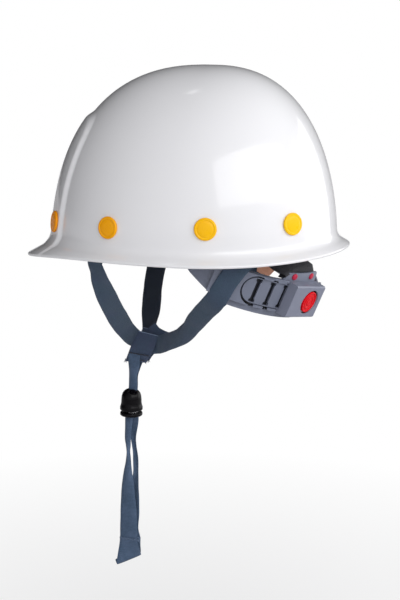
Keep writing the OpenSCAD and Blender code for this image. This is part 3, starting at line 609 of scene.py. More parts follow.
def make_shell():
    """The shell, with closer columns along the panel's two edges."""
    angles = [*np.arange(-138, -41.99, 2.0), *np.arange(-40, 220, 1.5)]
    near, far = 11.5, 3.7
    keep = [a for a in angles if not PANEL_HALF - near < abs(a + 90) < PANEL_HALF + far]
    fine = [side*(PANEL_HALF + d) - 90 for side in (-1, 1) for d in np.arange(0.5 - near, far, 0.5)]
    angles = np.radians(sorted(set(np.round(keep + fine, 3))))
    rows = shell_rows(angles)
    n = len(angles)
    top = len(rows)*n
    points = np.vstack((*rows, dome_point(0.0, HEIGHT), dome_point(0.0, HEIGHT - WALL, WALL)))
    faces = grid_faces(len(rows), n)
    for i in range(n):
        j = (i + 1) % n
        faces.append((top, j, i))
        faces.append((top + 1, top - n + i, top - n + j))
    piece = make_object("shell_moulded", points, turned(faces), WHITE)
    settle(piece, "shell")


make_shell()


# Rivets: place and normal of each, and the layers on its shank

RIVET_ANGLES = [-55.3, -18.0, 18.0, 55.3]
RIVET_RISE = 5.7
CLEAR = 0.1
SEAT = 1.1
CLIP_T = 2.0
CROWN_T = 1.2
CHIN_T = 1.4
WASHER_T = 1.2
CROWN_W = 18.0
CHIN_W = 17.0
BAND_T = 2.2


def rivet_spot(i):
    """Plan angle of a rivet and its height on the dome."""
    a = radians(RIVET_ANGLES[i])
    return a, -BASE + RIVET_RISE*sin(a)


def rivet_at(i):
    return dome_point(*rivet_spot(i))


def rivet_normal(i):
    a, up = rivet_spot(i)
    step = radians(0.5)
    round_it = dome_point(a + step, up) - dome_point(a - step, up)
    return unit(np.cross(round_it, dome_point(a, up + 1) - dome_point(a, up - 1)))


def crown_depth(i):
    return WALL + SEAT + (CLIP_T + CLEAR if i < 2 else 0)


def chin_depth(i):
    return crown_depth(i) + CROWN_T + CLEAR


def washer_depth(i):
    return chin_depth(i) + (CHIN_T + CLEAR if i in (1, 3) else 0)


def flip(p):
    return np.array(p)*(-1, 1, 1)


def lathe(name, profile, material, centre, axis=(0, 0, 1), steps=64):
    """A turned piece: profile is (radius, height) from one end on the axis to the other."""
    w = unit(axis)
    u = unit(np.cross(w, (0, 0, 1)) if abs(w[2]) < 0.9 else np.cross(w, (1, 0, 0)))
    angles = np.linspace(0, 2*pi, steps, endpoint=False)
    rim = np.outer(np.cos(angles), u) + np.outer(np.sin(angles), np.cross(w, u))
    points = np.concatenate([np.asarray(centre) + w*h + rim*max(r, 0.001) for r, h in profile])
    faces = grid_faces(len(profile), steps)
    faces.append(tuple(reversed(range(steps))))
    faces.append(tuple(range(len(points) - steps, len(points))))
    if profile[-1][1] < profile[0][1]:
        faces = turned(faces)
    return make_object(name, points, faces, material, sharp=35)


def rivet_profile(i):
    """From the peened end behind the washer to the ridged cap."""
    tail = -washer_depth(i) - WASHER_T - CLEAR
    return [(0, tail - 1.1), (3.0, tail - 1.0), (3.8, tail - 0.6), (3.8, tail - 0.1),
            (2.5, tail), (2.5, 0.1), (8.7, 0.1), (9.0, 0.4), (9.05, 1.0), (8.85, 1.6),
            (8.4, 2.0), (7.7, 2.15), (7.3, 2.05), (7.0, 1.8), (6.7, 1.78), (6.4, 1.95),
            (5.0, 2.12), (3.0, 2.25), (1.2, 2.3), (0, 2.3)]


def make_rivets():
    made = []
    for side in (1, -1):
        for i in range(4):
            p, n = rivet_at(i), rivet_normal(i)
            if side < 0:
                p, n = flip(p), flip(n)
            made.append(lathe("rivet", rivet_profile(i), ORANGE, p, n))
    settle(join("rivets_capped", made), "shell_rivets")


make_rivets()


# Crown straps

CROWN_Z = 86.0
CROWN_FLAT = 26.0
CROWN_DRAW = 1.5
CROWN_LUG = 8
CROWN_KNEE = 11


def level_of(i):
    """The level direction along the wall at a rivet."""
    n = rivet_normal(i)
    head = unit((n[0], n[1], 0))
    return np.array((-head[1], head[0], 0))


def crown_leg(i, z):
    """A crown strap from its rivet up the wall to the crossing at height z."""
    p, n, wide = rivet_at(i), rivet_normal(i), level_of(i)
    up = np.cross(n, wide)
    mid = p - n*(crown_depth(i) + CROWN_T/2)
    knee = mid + CROWN_KNEE*up
    far = hypot(knee[0], knee[1])
    way = np.array((knee[0]/far, knee[1]/far, 0))
    flat_wide = np.array((-way[1], way[0], 0))
    rows = [(mid - CROWN_LUG*up, wide, CROWN_W)]
    for f in range(0, 91, 9):
        out = lerp(CROWN_FLAT, far, max(cos(radians(f)), 0)**CROWN_DRAW)
        point = way*out + (0, 0, lerp(knee[2], z, sin(radians(f))))
        rows.append((point, unit(lerp(wide, flat_wide, min(1, f/54))), CROWN_W))
    return rows


def flipped(rows):
    return [(flip(p), flip(side), width) for p, side, width in rows]


def make_crown_straps():
    for name, i, layer in (("a", 0, 0), ("b", 3, 1), ("c", 1, 2), ("d", 2, 3)):
        z = CROWN_Z + layer*(CROWN_T + CLEAR)
        rows = crown_leg(i, z) + flipped(crown_leg(3 - i, z))[::-1]
        for k in range(len(rows)//2, len(rows)):
            p, side, width = rows[k]
            rows[k] = (p, side*(1 if np.dot(side, rows[k - 1][1]) > 0 else -1), width)
        piece = ribbon(f"crown_strap_{name}_woven", rows, CROWN_T, GREY_WEB, step=2.5)
        settle(piece, f"crown_strap_{name}")


make_crown_straps()


# Nape ring, and the strap that rises from it to the crown

TILT = radians(22)
RING_Z = -29.6
BAND_HALF = 21.0
BAND_BACK = 49.5
BAND_R = 80.0
RING_R = BAND_R + 3.6
TAIL_R = RING_R + BAND_T + 0.2
BOX_ANGLE = 68.0
BUTTON_ANGLE = BOX_ANGLE + 3.3


def from_ring(angle, r, z):
    """A point given by plan angle, radius and height on the tilted nape ring."""
    x, y = r*cos(radians(angle)), r*sin(radians(angle))
    return np.array((x, BAND_HALF + y*cos(TILT) + z*sin(TILT), RING_Z - y*sin(TILT) + z*cos(TILT)))


CRADLE_W = 44
CRADLE_CURVED_W = 33
CRADLE_TOP_W = 30
CRADLE_FLAT = (-0.97, 0.23, 0)
CRADLE = [((35, 87, -29), (-0.84, 0.52, -0.12), 48), ((33.5, 80, -16), (-0.78, 0.62, -0.05), 52),
          ((29, 82.2, 3), (-0.84, 0.54, 0), 46), ((24, 83.5, 25), (-0.92, 0.4, 0), 38),
          ((20, 78, 44), (-0.95, 0.3, 0), CRADLE_CURVED_W),
          ((15, 61, 66.5), (-0.96, 0.25, 0), CRADLE_TOP_W),
          ((8.6, 40, 80.5), CRADLE_FLAT, CRADLE_TOP_W), ((6.2, 30.5, 84.5), CRADLE_FLAT, CRADLE_TOP_W)]


def make_cradle_strap():
    """From the flange, curved like the nape ring, up to the crossing of the crown straps."""
    angle = BOX_ANGLE - 4
    seat_r = sqrt(RING_R**2 - CRADLE_W**2/4) - CLEAR - CROWN_T
    bow = seat_r + 1.8*CROWN_T - RING_R
    wide = unit(from_ring(angle + 1, BAND_R, 0) - from_ring(angle - 1, BAND_R, 0))
    rows = [(from_ring(angle, seat_r, z), wide, CRADLE_W, bow) for z in (13, 21)]
    rows += [(*row, bow/2 if row[2] > CRADLE_CURVED_W else 0) for row in CRADLE]
    under = CROWN_Z - CROWN_T - CLEAR
    rows += [(p, CRADLE_FLAT, CRADLE_TOP_W, 0) for p in ((4.4, 19.5, under), (-2, -8, under))]
    piece = ribbon("cradle_strap_woven", rows, CROWN_T, BLACK_WEB, step=2)
    settle(piece, "cradle_strap_rear")


make_cradle_strap()


# Chin strap

# Route of each leg on its way to the tab: a point, the direction of the width, the width and,
# where the strap is folded lengthwise, the depth of that fold. The far legs are not the mirror
# of the near ones: they hang slack and drawn towards the face.
LEGS = {
    "front_left": [
        ((91.5, -52.5, -19), (0.42, 0.91, 0.05), 17), ((90, -60.5, -31), (0.42, 0.9, 0.1), 17),
        ((86, -59, -42.6), (0.3, 0.94, 0.12), 17), ((79, -58.6, -53), (0.02, 0.97, 0.24), 17),
        ((66, -57.9, -67.9), (-0.3, 0.88, 0.37), 17), ((49, -57.9, -82.8), (-0.38, 0.8, 0.47), 17.4),
        ((33, -57.8, -95.2), (-0.43, 0.65, 0.62), 17), ((18, -57.3, -105.3), (-0.42, 0.53, 0.73), 16.3),
        ((9, -57, -110.4), (-0.25, 0.55, 0.78), 16), ((3, -55.5, -114.4), (-0.08, 0.6, 0.79), 15.5),
        ((2.3, -51, -120), (0, 0.75, 0.66), 15)],
    "rear_left": [
        ((69, 82.5, -12), (-0.62, 0.73, -0.3), 17), ((80, 70.5, -18.5), (-0.42, 0.8, -0.42), 17),
        ((84.4, 60.6, -27), (-0.3, 0.82, -0.48), 17), ((86.3, 51.8, -38.8), (-0.18, 0.82, -0.54), 17),
        ((85, 40.6, -56.5), (-0.08, 0.79, -0.61), 17.4),
        ((72, 26.8, -70.2), (-0.1, 0.75, -0.65), 17, 0.4),
        ((57, 13.8, -83.4), (-0.06, 0.76, -0.64), 16, 1.0),
        ((44, 3.2, -95.2), (0.1, 0.6, -0.79), 14.4, 1.8), ((32, -9.2, -103), (0.22, 0.3, -0.92), 15, 1.2),
        ((17, -23.5, -110.6), (0.3, 0.16, -0.94), 16, 0.5),
        ((8.5, -32.5, -115), (0.14, 0.16, -0.97), 15.8), ((4.3, -37.5, -117), (0.03, 0.17, -0.98), 15.4),
        ((3.9, -46, -118.9), (0, 0.2, -0.98), 15)],
    "front_right": [
        ((-91.5, -52.5, -19), (-0.42, 0.91, 0), 17), ((-88, -60, -34), (-0.5, 0.86, 0), 17),
        ((-82, -64, -50), (-0.4, 0.92, -0.05), 17), ((-72, -65.1, -63.1), (-0.3, 0.95, -0.1), 17),
        ((-56, -62.2, -77.1), (-0.28, 0.96, -0.06), 17), ((-41, -58, -89), (-0.27, 0.96, 0), 17),
        ((-30, -55.1, -98.1), (-0.25, 0.95, 0.1), 16),
        ((-20, -52.3, -103.5), (-0.2, 0.93, 0.25), 13.5, -1.5),
        ((-10, -49.8, -108.8), (-0.1, 0.88, 0.44), 12.5, -1.5),
        ((-2.6, -49.2, -114.4), (0, 0.85, 0.5), 13), ((-2.3, -50.5, -121), (0, 0.9, 0.4), 14)],
    "rear_right": [
        ((-69, 83.5, -12), (0.62, 0.73, -0.3), 17), ((-79.6, 73, -19.2), (0.5, 0.8, -0.33), 17),
        ((-84, 62, -30), (0.42, 0.84, -0.34), 17), ((-87, 46.5, -45), (0.35, 0.87, -0.35), 17),
        ((-87, 28.6, -61.8), (0.25, 0.8, -0.5), 17), ((-83, 12.9, -73.4), (0.2, 0.72, -0.66), 17),
        ((-76, -0.1, -84.4), (0.15, 0.7, -0.7), 16), ((-66, -10.2, -94.5), (0.1, 0.7, -0.7), 15),
        ((-54, -17.7, -103.1), (0.05, 0.7, -0.72), 14), ((-40, -22.6, -110), (0, 0.6, -0.8), 13.5),
        ((-26, -28.2, -116), (-0.1, 0.4, -0.92), 13.5), ((-14, -34, -117.6), (-0.2, 0.2, -0.95), 14),
        ((-4.3, -40, -117.9), (-0.05, 0.17, -0.98), 14.5), ((-3.9, -47.5, -119.5), (0, 0.2, -0.98), 14.5)],
}


def chin_lug(i, turn):
    """The end of a leg on its rivet, turned by an angle about it."""
    turn = radians(turn)
    level, n = level_of(i), rivet_normal(i)
    rise = np.cross(n, level)
    up = rise*cos(turn) + level*sin(turn)
    wide = level*cos(turn) - rise*sin(turn)
    mid = rivet_at(i) - n*(chin_depth(i) + CHIN_T/2)
    return [(mid + reach*up, wide, CHIN_W) for reach in (7, 0, -9)]


def make_chin_legs():
    for seed, (name, route) in enumerate(LEGS.items(), 20):
        rows = chin_lug(1, 0) if name.startswith("front") else chin_lug(3, 40)
        if name.endswith("right"):
            rows = flipped(rows)
        # The far front leg takes the darker copy of the webbing: painted shade.
        cloth = SLATE_PAINTED_SHADE if name == "front_right" else SLATE
        piece = ribbon(f"chin_{name}_woven", rows + route, CHIN_T, cloth, waves=0.25, seed=seed)
        settle(piece, f"chin_{name}")


make_chin_legs()


# Folded tab that joins the legs

def stitch_row(start, end, count, out, thick):
    """Short stitches in a row, standing out along one direction."""
    step = (end - start)/count
    made = []
    for k in range(count):
        a = start + step*(k + 0.15)
        b = start + step*(k + 0.85)
        mid = (a + b)/2 + out*0.3
        side = np.cross(unit(b - a), out)
        rows = [(p, side, thick) for p in (a, mid, b)]
        made.append(ribbon("stitch", rows, thick, DARK_THREAD, step=0.5))
    return made


TAB = [((6.8, -43.8, -106.6), (0, 0.985, -0.17), 20.3), ((6.9, -46.9, -113.7), (0, 0.99, -0.12), 21.0),
       ((6.5, -49.7, -120.6), (0, 0.998, -0.06), 21.4), ((6.0, -52.1, -125.8), (0, 1, -0.03), 20.9),
       ((4.9, -54.3, -129.6), (0, 1, 0), 20.3), ((3.4, -56.3, -133.7), (0, 1, 0.015), 20.1)]


def tab_side(sign, draw):
    """One layer, with its stitches, pale top edge and frayed corners."""
    mirror = np.array((sign, 1, 1))
    out = np.array((sign, 0, 0))
    rows = [(np.array(p)*mirror, sign*np.array(side), width) for p, side, width in TAB]
    made = [ribbon("layer", rows, 1.4, NAVY, step=0.9, square=False, waves=0.15, seed=11 + sign)]
    for start, end, count, thick in (((7.0, -61.8, -125.0), (7.0, -42.2, -126.6), 10, 0.9),
                                     ((5.2, -64.0, -131.4), (5.2, -47.0, -131.6), 9, 0.7)):
        made += stitch_row(start*mirror, end*mirror, count, out, thick)
    edge = [(p*mirror, out, 0.8)
            for p in ((7.4, -53.6, -104.7), (7.6, -43.8, -106.3), (7.2, -33.9, -108.0))]
    made.append(ribbon("edge", edge, 0.7, THREAD, step=1))
    x = sign*3.5
    for _ in range(9):
        y = draw.choice((-66.0, -46.8)) + draw.uniform(-0.8, 0.8)
        z = -133.2 + draw.uniform(-0.6, 0.8)
        tip = (x, y + draw.uniform(-1.6, 1.6), z - draw.uniform(0.8, 2.2))
        rows = [((x, y, z + 1), out, 0.4), ((x, y, z), out, 0.35), (tip, out, 0.2)]
        made.append(ribbon("fray", rows, 0.3, NAVY, step=0.6))
    return made


def make_tab():
    """Two layers over the ends of the legs, with a fold that stands up behind them."""
    draw = np.random.default_rng(17)
    made = tab_side(1, draw) + tab_side(-1, draw)
    fold = [((0.2, -24.5, -113.5), (-0.1, 0.16, 0.98), 15),
            ((0.3, -31.5, -111.5), (-0.1, 0.28, 0.95), 14),
            ((0.4, -39.6, -107.6), (-0.1, 0.55, 0.83), 13),
            ((0.5, -44.6, -101.9), (-0.1, 0.72, 0.68), 12.4)]
    made.append(ribbon("fold", fold, 1.2, NAVY, step=0.9, waves=0.15, seed=5))
    rim = [((5.2, -33.4, -108.3), (1, 0, 0), 0.7), ((6.4, -27, -104.6), (1, 0, 0), 0.7),
           ((11, -20.5, -103.0), (1, 0, 0), 0.6)]
    made.append(ribbon("rim", rim, 0.6, THREAD, step=1))
    settle(join("junction_sewn", made), "chin_junction")


make_tab()


# Sliding lock: its two turned parts, as radius and height below the top or over the foot

LOCK_TOP = -159.6
BELL_H = 19.0
PLUG_OUT = 2
BELL = [(0, 0), (3.4, 0), (5.2, -0.8), (6.8, -2.1), (8, -3.9), (8.7, -6.2), (9, -9), (9.1, -12),
        (9.3, -13.6), (9.7, -15), (10.1, -16.2), (10.15, -17.2), (10.1, -18.4), (9.7, -BELL_H),
        (7.8, -BELL_H), (7.7, -BELL_H + 6), (0, -BELL_H + 6.2)]
PLUG = [(0, 12), (5.4, 12), (6.1, 11.3), (6.2, 0.2), (9.2, 0.1), (9.75, -0.3), (10, -0.9),
        (10.05, -1.7), (9.9, -2.5), (9.3, -3.1), (8.4, -3.4), (0, -3.4)]


def carve(piece, cutters, sharp=30):
    """Cut closed shapes out of a piece; the cut faces take the cutters' materials."""
    for cutter in cutters:
        step = piece.modifiers.new("cut", "BOOLEAN")
        step.operation = "DIFFERENCE"
        step.solver = "EXACT"
        step.material_mode = "TRANSFER"
        step.object = cutter
    graph = bpy.context.evaluated_depsgraph_get()
    mesh = bpy.data.meshes.new_from_object(piece.evaluated_get(graph), depsgraph=graph)
    piece.modifiers.clear()
    old = piece.data
    piece.data = mesh
    bpy.data.meshes.remove(old)
    for cutter in cutters:
        mesh = cutter.data
        bpy.data.objects.remove(cutter)
        bpy.data.meshes.remove(mesh)
    shade_smooth(piece.data, sharp)


def slot_cutter(half_width, front, rear, low, high):
    """A box for the slot that the tapes pass through; front and rear are measured from them."""
    corners = [(x, TAPE_Y + y, z) for z in (low, high) for y in (front, rear)
               for x in (-half_width, half_width)]
    faces = [(0, 2, 3, 1), (4, 5, 7, 6), (0, 1, 5, 4), (2, 6, 7, 3), (0, 4, 6, 2), (1, 3, 7, 5)]
    return make_object("cutter", corners, faces, BLACK)


def lock_part(node, body, level, profile, slot):
    profile = [(r, level + h) for r, h in profile]
    piece = lathe(f"{node}_turned", profile, BLACK, (0, TAPE_Y, 0), steps=72)
    carve(piece, [slot])
    settle(piece, node, body)


def make_lock():
    foot = LOCK_TOP - BELL_H - PLUG_OUT
    slot = slot_cutter(1.7, -3.2, 4.6, LOCK_TOP - 16, LOCK_TOP + 2)
    lock_part("lock_bell", "cord_lock", LOCK_TOP, BELL, slot)
    slot = slot_cutter(1.9, -5.4, 6.8, foot - 6, foot + 14)
    lock_part("lock_plug", "plug", foot, PLUG, slot)


make_lock()


# Soft linings

FOAM_T = 2.2


def sector_pad(name, ring_r, low, high, start, end, material):
    """A stuffed pad inside a nape band, crowned inwards and pinched along a seam; low gives
    the height of its lower edge at each angle."""
    n, m = 44, 20
    rim_t, puff = 0.6, 0.9
    inner, outer = [], []
    for i in range(n + 1):
        for j in range(m + 1):
            u, v = 2*i/n - 1, 2*j/m - 1
            fall = (1 - abs(u)**4)*(1 - abs(v)**4)
            seam = 0.35*exp(-((abs(v) - 0.8)/0.06)**2) + 0.35*exp(-((abs(u) - 0.93)/0.02)**2)
            thick = rim_t + (FOAM_T - rim_t + puff)*fall**0.3 - seam*fall
            angle = lerp(start, end, (u*(1 - 0.1*abs(v)**3) + 1)/2)
            z = lerp(low(angle), high, (v + 1)/2)
            inner.append(from_ring(angle, ring_r - CLEAR - thick, z))
            outer.append(from_ring(angle, ring_r - CLEAR, z))
    faces = grid_faces(n + 1, m + 1, wrap=False)
    faces += turned(grid_faces(n + 1, m + 1, wrap=False, base=len(inner)))
    edge = [i*(m + 1) for i in range(n + 1)] + [n*(m + 1) + j for j in range(1, m + 1)]
    edge += [i*(m + 1) + m for i in range(n - 1, -1, -1)] + list(range(m - 1, 0, -1))
    for a, b in zip(edge, edge[1:] + edge[:1]):
        faces.append((a, a + len(inner), b + len(inner), b))
    return make_object(name, inner + outer, faces, material)


def make_nape_pads():
    left = sector_pad("nape_pad_left_sewn", RING_R, lambda a: -16, 11.5, 20, 52, TAN)
    settle(left, "nape_pad_left")
    right = sector_pad("nape_pad_right_sewn", TAIL_R, lambda a: -11 - 15*smooth((a - 154)/6), 10,
                       137, 169, SALMON)
    settle(right, "nape_pad_right", "adjust_band")


make_nape_pads()


def make_crown_pad():
    """A sewn disc with a rolled rim and pinched quilting lines."""
    radius, half_t = 29, 2.4
    middle = CROWN_Z - 1.5*CROWN_T - 3*CLEAR - 2.5
    steps, rings = 96, 30
    points = []
    for t in pi*np.arange(rings + 1)/rings:
        r = radius*sin(t)**0.6
        lift = cos(t)
        for a in 2*pi*np.arange(steps)/steps:
            quilt = exp(-((r - 20)/1.6)**2)*0.5 + exp(-(sin(3*a)*r/4)**2)*0.5*(r > 6)
            z = middle + copysign(half_t*abs(lift)**0.35, lift) + (quilt*0.8 if lift < 0 else 0)
            points.append((r*cos(a), r*sin(a), z))
    piece = make_object("crown_pad_sewn", points, turned(grid_faces(rings + 1, steps)), TAN)
    settle(piece, "crown_pad")


make_crown_pad()


def make_sweatband():
    """The lining of the headband, a padded strip with a stitched edge."""
    half_t, half_h = 1.15, 13
    r = BAND_R - BAND_T - CLEAR - half_t
    turns = np.radians(np.linspace(0, -180, 90))
    line = [(r, y, 0) for y in np.arange(BAND_BACK, -BAND_HALF, -3)]
    line += [(r*cos(a), -BAND_HALF + r*sin(a), 0) for a in turns]
    line += [(-r, y, 0) for y in (*np.arange(3 - BAND_HALF, BAND_BACK, 3), BAND_BACK)]
    line = np.array(line)
    outward = np.cross((0, 0, 1), unit(np.gradient(line, axis=0)))
    rings = []
    for t in 2*pi*np.arange(36)/36:
        z = half_h*copysign(abs(sin(t))**0.75, sin(t))
        x = half_t*copysign(abs(cos(t))**0.5, cos(t))
        if x < 0:
            x += 0.55*exp(-((abs(z) - 10.2)/0.8)**2)
        rings.append(line + outward*x + (0, 0, z))
    points = np.stack(rings, 1).reshape(-1, 3)
    piece = make_object("sweatband_sewn", points, tube_faces(len(line), len(rings)), TAN, sharp=60)
    settle(piece, "sweatband")


make_sweatband()


# Nape ring: the solids' shapes with finer cuts, and a wider flange

FIRST_SLOT = 36.5
TIP = FIRST_SLOT - 0.2
SLOT_PITCH = 8.7
SLOT_HALF = 2.7
WINDOW_HALF = 11.4
TAIL_T = 2.0
ROOF_R = TAIL_R + TAIL_T + 0.3
BOX_FACE = RING_R + 11.4
BUTTON_R = 9.3


def ring_axes(angle):
    """Outward, along the ring and up, at a plan angle of the nape ring."""
    out = unit(from_ring(angle, 1, 0) - from_ring(angle, 0, 0))
    up = unit(from_ring(angle, 0, 1) - from_ring(angle, 0, 0))
    return out, np.cross(up, out), up


def ring_prism(angle, outline, r0, r1, material):
    """An outline of (along, up) points, pushed through from radius r0 to r1, to cut with."""
    out, along, up = ring_axes(angle)
    points = [from_ring(angle, r, 0) + along*t + up*z for r in (r0, r1) for t, z in outline]
    n = len(outline)
    faces = [tuple(reversed(range(n))), tuple(range(n, 2*n))]
    for i in range(n):
        j = (i + 1) % n
        faces.append((i, j, j + n, i + n))
    return make_object("cutter", points, faces, material)


def rectangle(half, low, high):
    return [(-half, low), (half, low), (half, high), (-half, high)]


def arc(radius, a0, a1, steps=28):
    return [(radius*cos(a), radius*sin(a)) for a in np.radians(np.linspace(a0, a1, steps))]


def ring_band(name, a0, a1, r0, r1, low, high, material, steps=40):
    """A closed strip on the ring with soft upper edges; high gives its top at each angle."""
    points = []
    for a in np.linspace(a0, a1, steps):
        top = high(a)
        soft = min(0.35, (top - low)/4)
        for r, z in ((r0, low), (r0, top - soft), (r0 + 0.35, top), (r1 - 0.35, top),
                     (r1, top - soft), (r1, low)):
            points.append(from_ring(a, r, z))
    return make_object(name, points, turned(tube_faces(steps, 6)), material, sharp=30)


def copy_of(node, name, material):
    """A new piece with the mesh of a solid, free to be cut and shaped."""
    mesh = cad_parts[node].data.copy()
    mesh.name = name
    mesh.materials.clear()
    mesh.materials.append(material)
    mesh.polygons.foreach_set("material_index", [0]*len(mesh.polygons))
    shade_smooth(mesh)
    return add_object(name, mesh)


def to_ring(p):
    """Plan angle, radius and height on the ring of a point in mm."""
    y, z = p[1] - BAND_HALF, p[2] - RING_Z
    out = y*cos(TILT) - z*sin(TILT)
    return degrees(atan2(out, p[0])), hypot(p[0], out), y*sin(TILT) + z*cos(TILT)


def lower_points(piece, lower):
    """Move a piece's points down along the ring, by what lower(angle, height) gives."""
    for v in piece.data.vertices:
        angle, r, z = to_ring([c/MM for c in v.co])
        drop = lower(angle, z)
        if drop > 0:
            v.co = Vector((from_ring(angle, r, z - drop)*MM).tolist())


def arm_drop(angle, z):
    """The left arm reaches a little lower than its solid."""
    return 2*smooth((angle - 10)/15)*smooth((-13 - z)/3.5) if angle < 70 else 0


def band_drop(angle, z):
    """The right band's upper edge is lower behind the housing."""
    return 9.5*smooth((angle - 92)/5)*smooth((150 - angle)/16)*smooth((z - 1)/8)


def flange_top(a):
    rise = min(smooth((a - 50.0)/2.6), smooth((81.0 - a)/3.2))
    return 13.0 + rise*(7.2 + 2.6*(a - 52)/24)


def lip_top(a):
    return 13.4 + 0.9*smooth((a - 36)/14)


def make_nape_arm():
    """The solid's flange gives way to a wider one. Cut in: a window with a groove round the tail's tip,
    and a pocket and two notches at each slot beside it. The faces cut by the groove, pockets and notches
    are near-black: painted shade."""
    arm = copy_of("nape_arm_left", "nape_arm_moulded", BAND)
    lower_points(arm, arm_drop)
    beyond = ROOF_R + 9
    groove = arc(WINDOW_HALF + 1.4, 92, 268) + arc(WINDOW_HALF - 0.25, 268, 92)
    window = rectangle(13.83, -WINDOW_HALF - 0.03, WINDOW_HALF + 0.03)
    pocket = rectangle(SLOT_HALF, -10.4, 10.4)
    old_flange = rectangle(30, 13.6, 40)
    cutters = [ring_prism(64, old_flange, 50, 110, BAND),
               ring_prism(TIP, groove, RING_R + 0.7, beyond, RECESS_PAINTED_SHADE),
               ring_prism(TIP, arc(WINDOW_HALF, 90, 270), TAIL_R + 0.45, beyond, BAND),
               ring_prism(TIP + 9, window, TAIL_R + 0.52, beyond, BAND)]
    for k in range(3):
        angle = FIRST_SLOT + k*SLOT_PITCH
        cutters.append(ring_prism(angle, pocket, RING_R + 0.6, TAIL_R + 0.1, RECESS_PAINTED_SHADE))
        for low, high in ((11.05, 12.6), (-14.4, -11.05)):
            notch = rectangle(2.2, low, high)
            cutters.append(ring_prism(angle + 0.2, notch, RING_R + 1.1, beyond, RECESS_PAINTED_SHADE))
    carve(arm, cutters)
    flange = ring_band("flange", 49.6, 81.5, RING_R, RING_R + BAND_T, 11.0, flange_top, BAND, 64)
    lip = ring_band("lip", 14, 54, RING_R + 1.2, ROOF_R + 1.0, 12.9, lip_top, BAND)
    piece = join("nape_arm_moulded", [arm, flange, lip])
    settle(piece, "nape_arm_left")


def make_nape_band():
    """Lower behind the housing, with a round tip and with slots that widen at both ends."""
    band = copy_of("nape_band_right", "nape_band_moulded", BAND)
    lower_points(band, band_drop)
    beyond = ROOF_R + 2
    round_tip = arc(16, 95, 265) + arc(11, 265, 95)
    cutters = [ring_prism(TIP, round_tip, TAIL_R - 4, beyond, BAND)]
    for k in range(9):
        for low, high in ((7.6, 10.2), (-10.2, -7.6)):
            wider = rectangle(SLOT_HALF, low, high)
            cutters.append(ring_prism(FIRST_SLOT + k*SLOT_PITCH, wider, TAIL_R - 2, beyond, BAND))
    carve(band, cutters)
    settle(band, "nape_band_right", "adjust_band")


def make_housing():
    box = copy_of("adjuster_housing", "adjuster_housing_moulded", BOX)
    circle = arc(BUTTON_R + 1.35, 0, 354, 60)
    # The button's well takes the near-black cut faces: painted shade.
    carve(box, [ring_prism(BUTTON_ANGLE, circle, ROOF_R + 1.9, BOX_FACE + 3, RECESS_PAINTED_SHADE)], sharp=8)
    settle(box, "adjuster_housing")


def make_button():
    """A round cap with low rings on its face, in a well whose walls are painted near-black as shade."""
    r, foot = BUTTON_R, ROOF_R + 4.6
    profile = [(r*0.6, foot), (r, foot), (r, BOX_FACE - 0.25),
               (r - 0.15, BOX_FACE + 0.15), (r - 0.6, BOX_FACE + 0.4)]
    profile += [(r*share, BOX_FACE + h) for share, h in (
        (0.85, 0.4), (0.81, -0.25), (0.68, -0.25), (0.64, 0.3), (0.5, 0.3), (0.46, -0.2),
        (0.34, -0.2), (0.3, 0.28), (0.14, 0.3), (0, 0.15))]
    out = ring_axes(BUTTON_ANGLE)[0]
    piece = lathe("release_button_moulded", profile, RED, from_ring(BUTTON_ANGLE, 0, 0), out, 72)
    settle(piece, "release_button", "button")


def make_cradle_studs():
    """Two low heads that hold the black strap to the flange."""
    base = RING_R + BAND_T
    profile = [(1.4, RING_R - 3.2), (1.4, base - 0.2), (2.75, base), (2.75, base + 0.55),
               (2.35, base + 1.05), (1.5, base + 1.4), (0.7, base + 1.3), (0, base + 1.25)]
    made = [lathe("stud", profile, RED_STUD, from_ring(angle, 0, z), ring_axes(angle)[0], 36)
            for angle, z in ((58.1, 17.8), (72.5, 19.4))]
    settle(join("cradle_studs_moulded", made), "cradle_studs")


make_nape_arm()
make_nape_band()
make_housing()
make_button()
make_cradle_studs()


# Springs, copied from their solids

def make_spring(node):
    """A copy of a spring's solid, smooth-shaded, in the solid's place."""
    piece = copy_of(node, f"{node}_sprung", SPRING)
    shade_smooth(piece.data, 30)
    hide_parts(node)
    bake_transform(piece)


make_spring("latch_stirrup")
make_spring("lock_spring")


# Pieces whose shape the solids already give

KEPT = {"rivet_washers": STEEL, "hanger_clips": CLIP, "headband": BAND, "headband_studs": STUD}


def dress_kept_nodes():
    for name, material in KEPT.items():
        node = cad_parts[name]
        for slot in node.material_slots:
            slot.material = material
        shade_smooth(node.data)
        node.modifiers.new("sharp_edges", "EDGE_SPLIT").split_angle = radians(30)


dress_kept_nodes()


# Floor, lights and background

FLOOR_Z = -0.40
FLOOR_R = 14
BRIGHT_SIDE = (0.45, 0.72, -0.35)
# Name, azimuth, elevation, distance, width, height and radiance
LAMPS = [("window", 57, 24, 2.0, 3.0, 1.05, 1.85), ("side", 130, 8, 2.2, 2.0, 1.3, 1.2),
         ("above", -110, 74, 2.0, 0.22, 0.12, 2.0)]


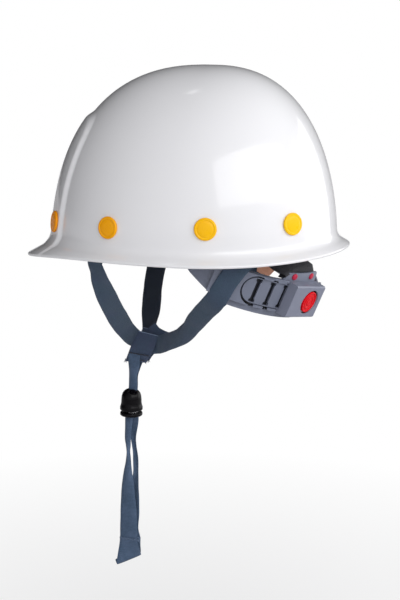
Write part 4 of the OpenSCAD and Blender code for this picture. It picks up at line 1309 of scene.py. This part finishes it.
def make_floor():
    """A pale floor that brightens into the white backdrop, clear from below."""
    mesh = bpy.data.meshes.new("floor")
    steps = 96
    turns = 2*pi*np.arange(steps)/steps
    mesh.from_pydata([(FLOOR_R*cos(a), FLOOR_R*sin(a), 0) for a in turns], [], [range(steps)])
    s = Shader("floor_pale", (0.86, 0.86, 0.87), 0.9)
    s.roughness(s.noise(3), 0.85, 0.95)
    away = s.add("VectorMath", {"operation": "LENGTH"}, _0=s.place()).outputs["Value"]
    share = s.math("MULTIPLY", s.spread(away, 0.05, 0.62, 0.62, 1.0), s.seen())
    white = s.add("Emission", Color=(1, 1, 1, 1), Strength=1.0).outputs[0]
    clear = s.add("BsdfTransparent").outputs[0]
    under = s.add("NewGeometry").outputs["Backfacing"]
    s.show("Material Output", under, s.either(share, s.surface.outputs[0], white), clear)
    mesh.materials.append(s.material)
    floor = add_object("floor", mesh)
    floor.matrix_world = Matrix.Translation((0, 0, FLOOR_Z))


def make_world():
    """White for the camera; its light and reflection fade away from the window's side."""
    world = bpy.data.worlds.new("studio")
    world.use_nodes = True
    nodes = Nodes(world.node_tree)
    around = nodes.add("TexCoord").outputs["Generated"]
    facing = nodes.add("VectorMath", {"operation": "DOT_PRODUCT"}, _0=around, _1=BRIGHT_SIDE)
    level = nodes.spread(facing.outputs["Value"], -0.95, 0.6, 0.02, 0.97, "SMOOTHSTEP")
    light = nodes.add("Background", Color=(0.98, 0.98, 1.0, 1), Strength=level).outputs[0]
    white = nodes.add("Background", Color=(1, 1, 1, 1), Strength=1.0).outputs[0]
    nodes.show("World Output", nodes.seen(), light, white)
    SCENE.world = world


def softbox(name, azimuth, elevation, distance, width, height, radiance):
    """A flat panel that faces the object; azimuth is measured from +X towards +Y."""
    a, e = radians(azimuth), radians(elevation)
    place = Vector((cos(e)*cos(a), cos(e)*sin(a), sin(e)))*distance
    data = bpy.data.lights.new(name, "AREA")
    data.shape = "RECTANGLE"
    data.size = width
    data.size_y = height
    data.energy = radiance*pi*width*height
    turn = (-place).to_track_quat("-Z", "Y").to_matrix().to_4x4()
    add_object(name, data).matrix_world = Matrix.Translation(place) @ turn


make_floor()
make_world()
for lamp in LAMPS:
    softbox(*lamp)
SCENE.view_settings.view_transform = "Standard"
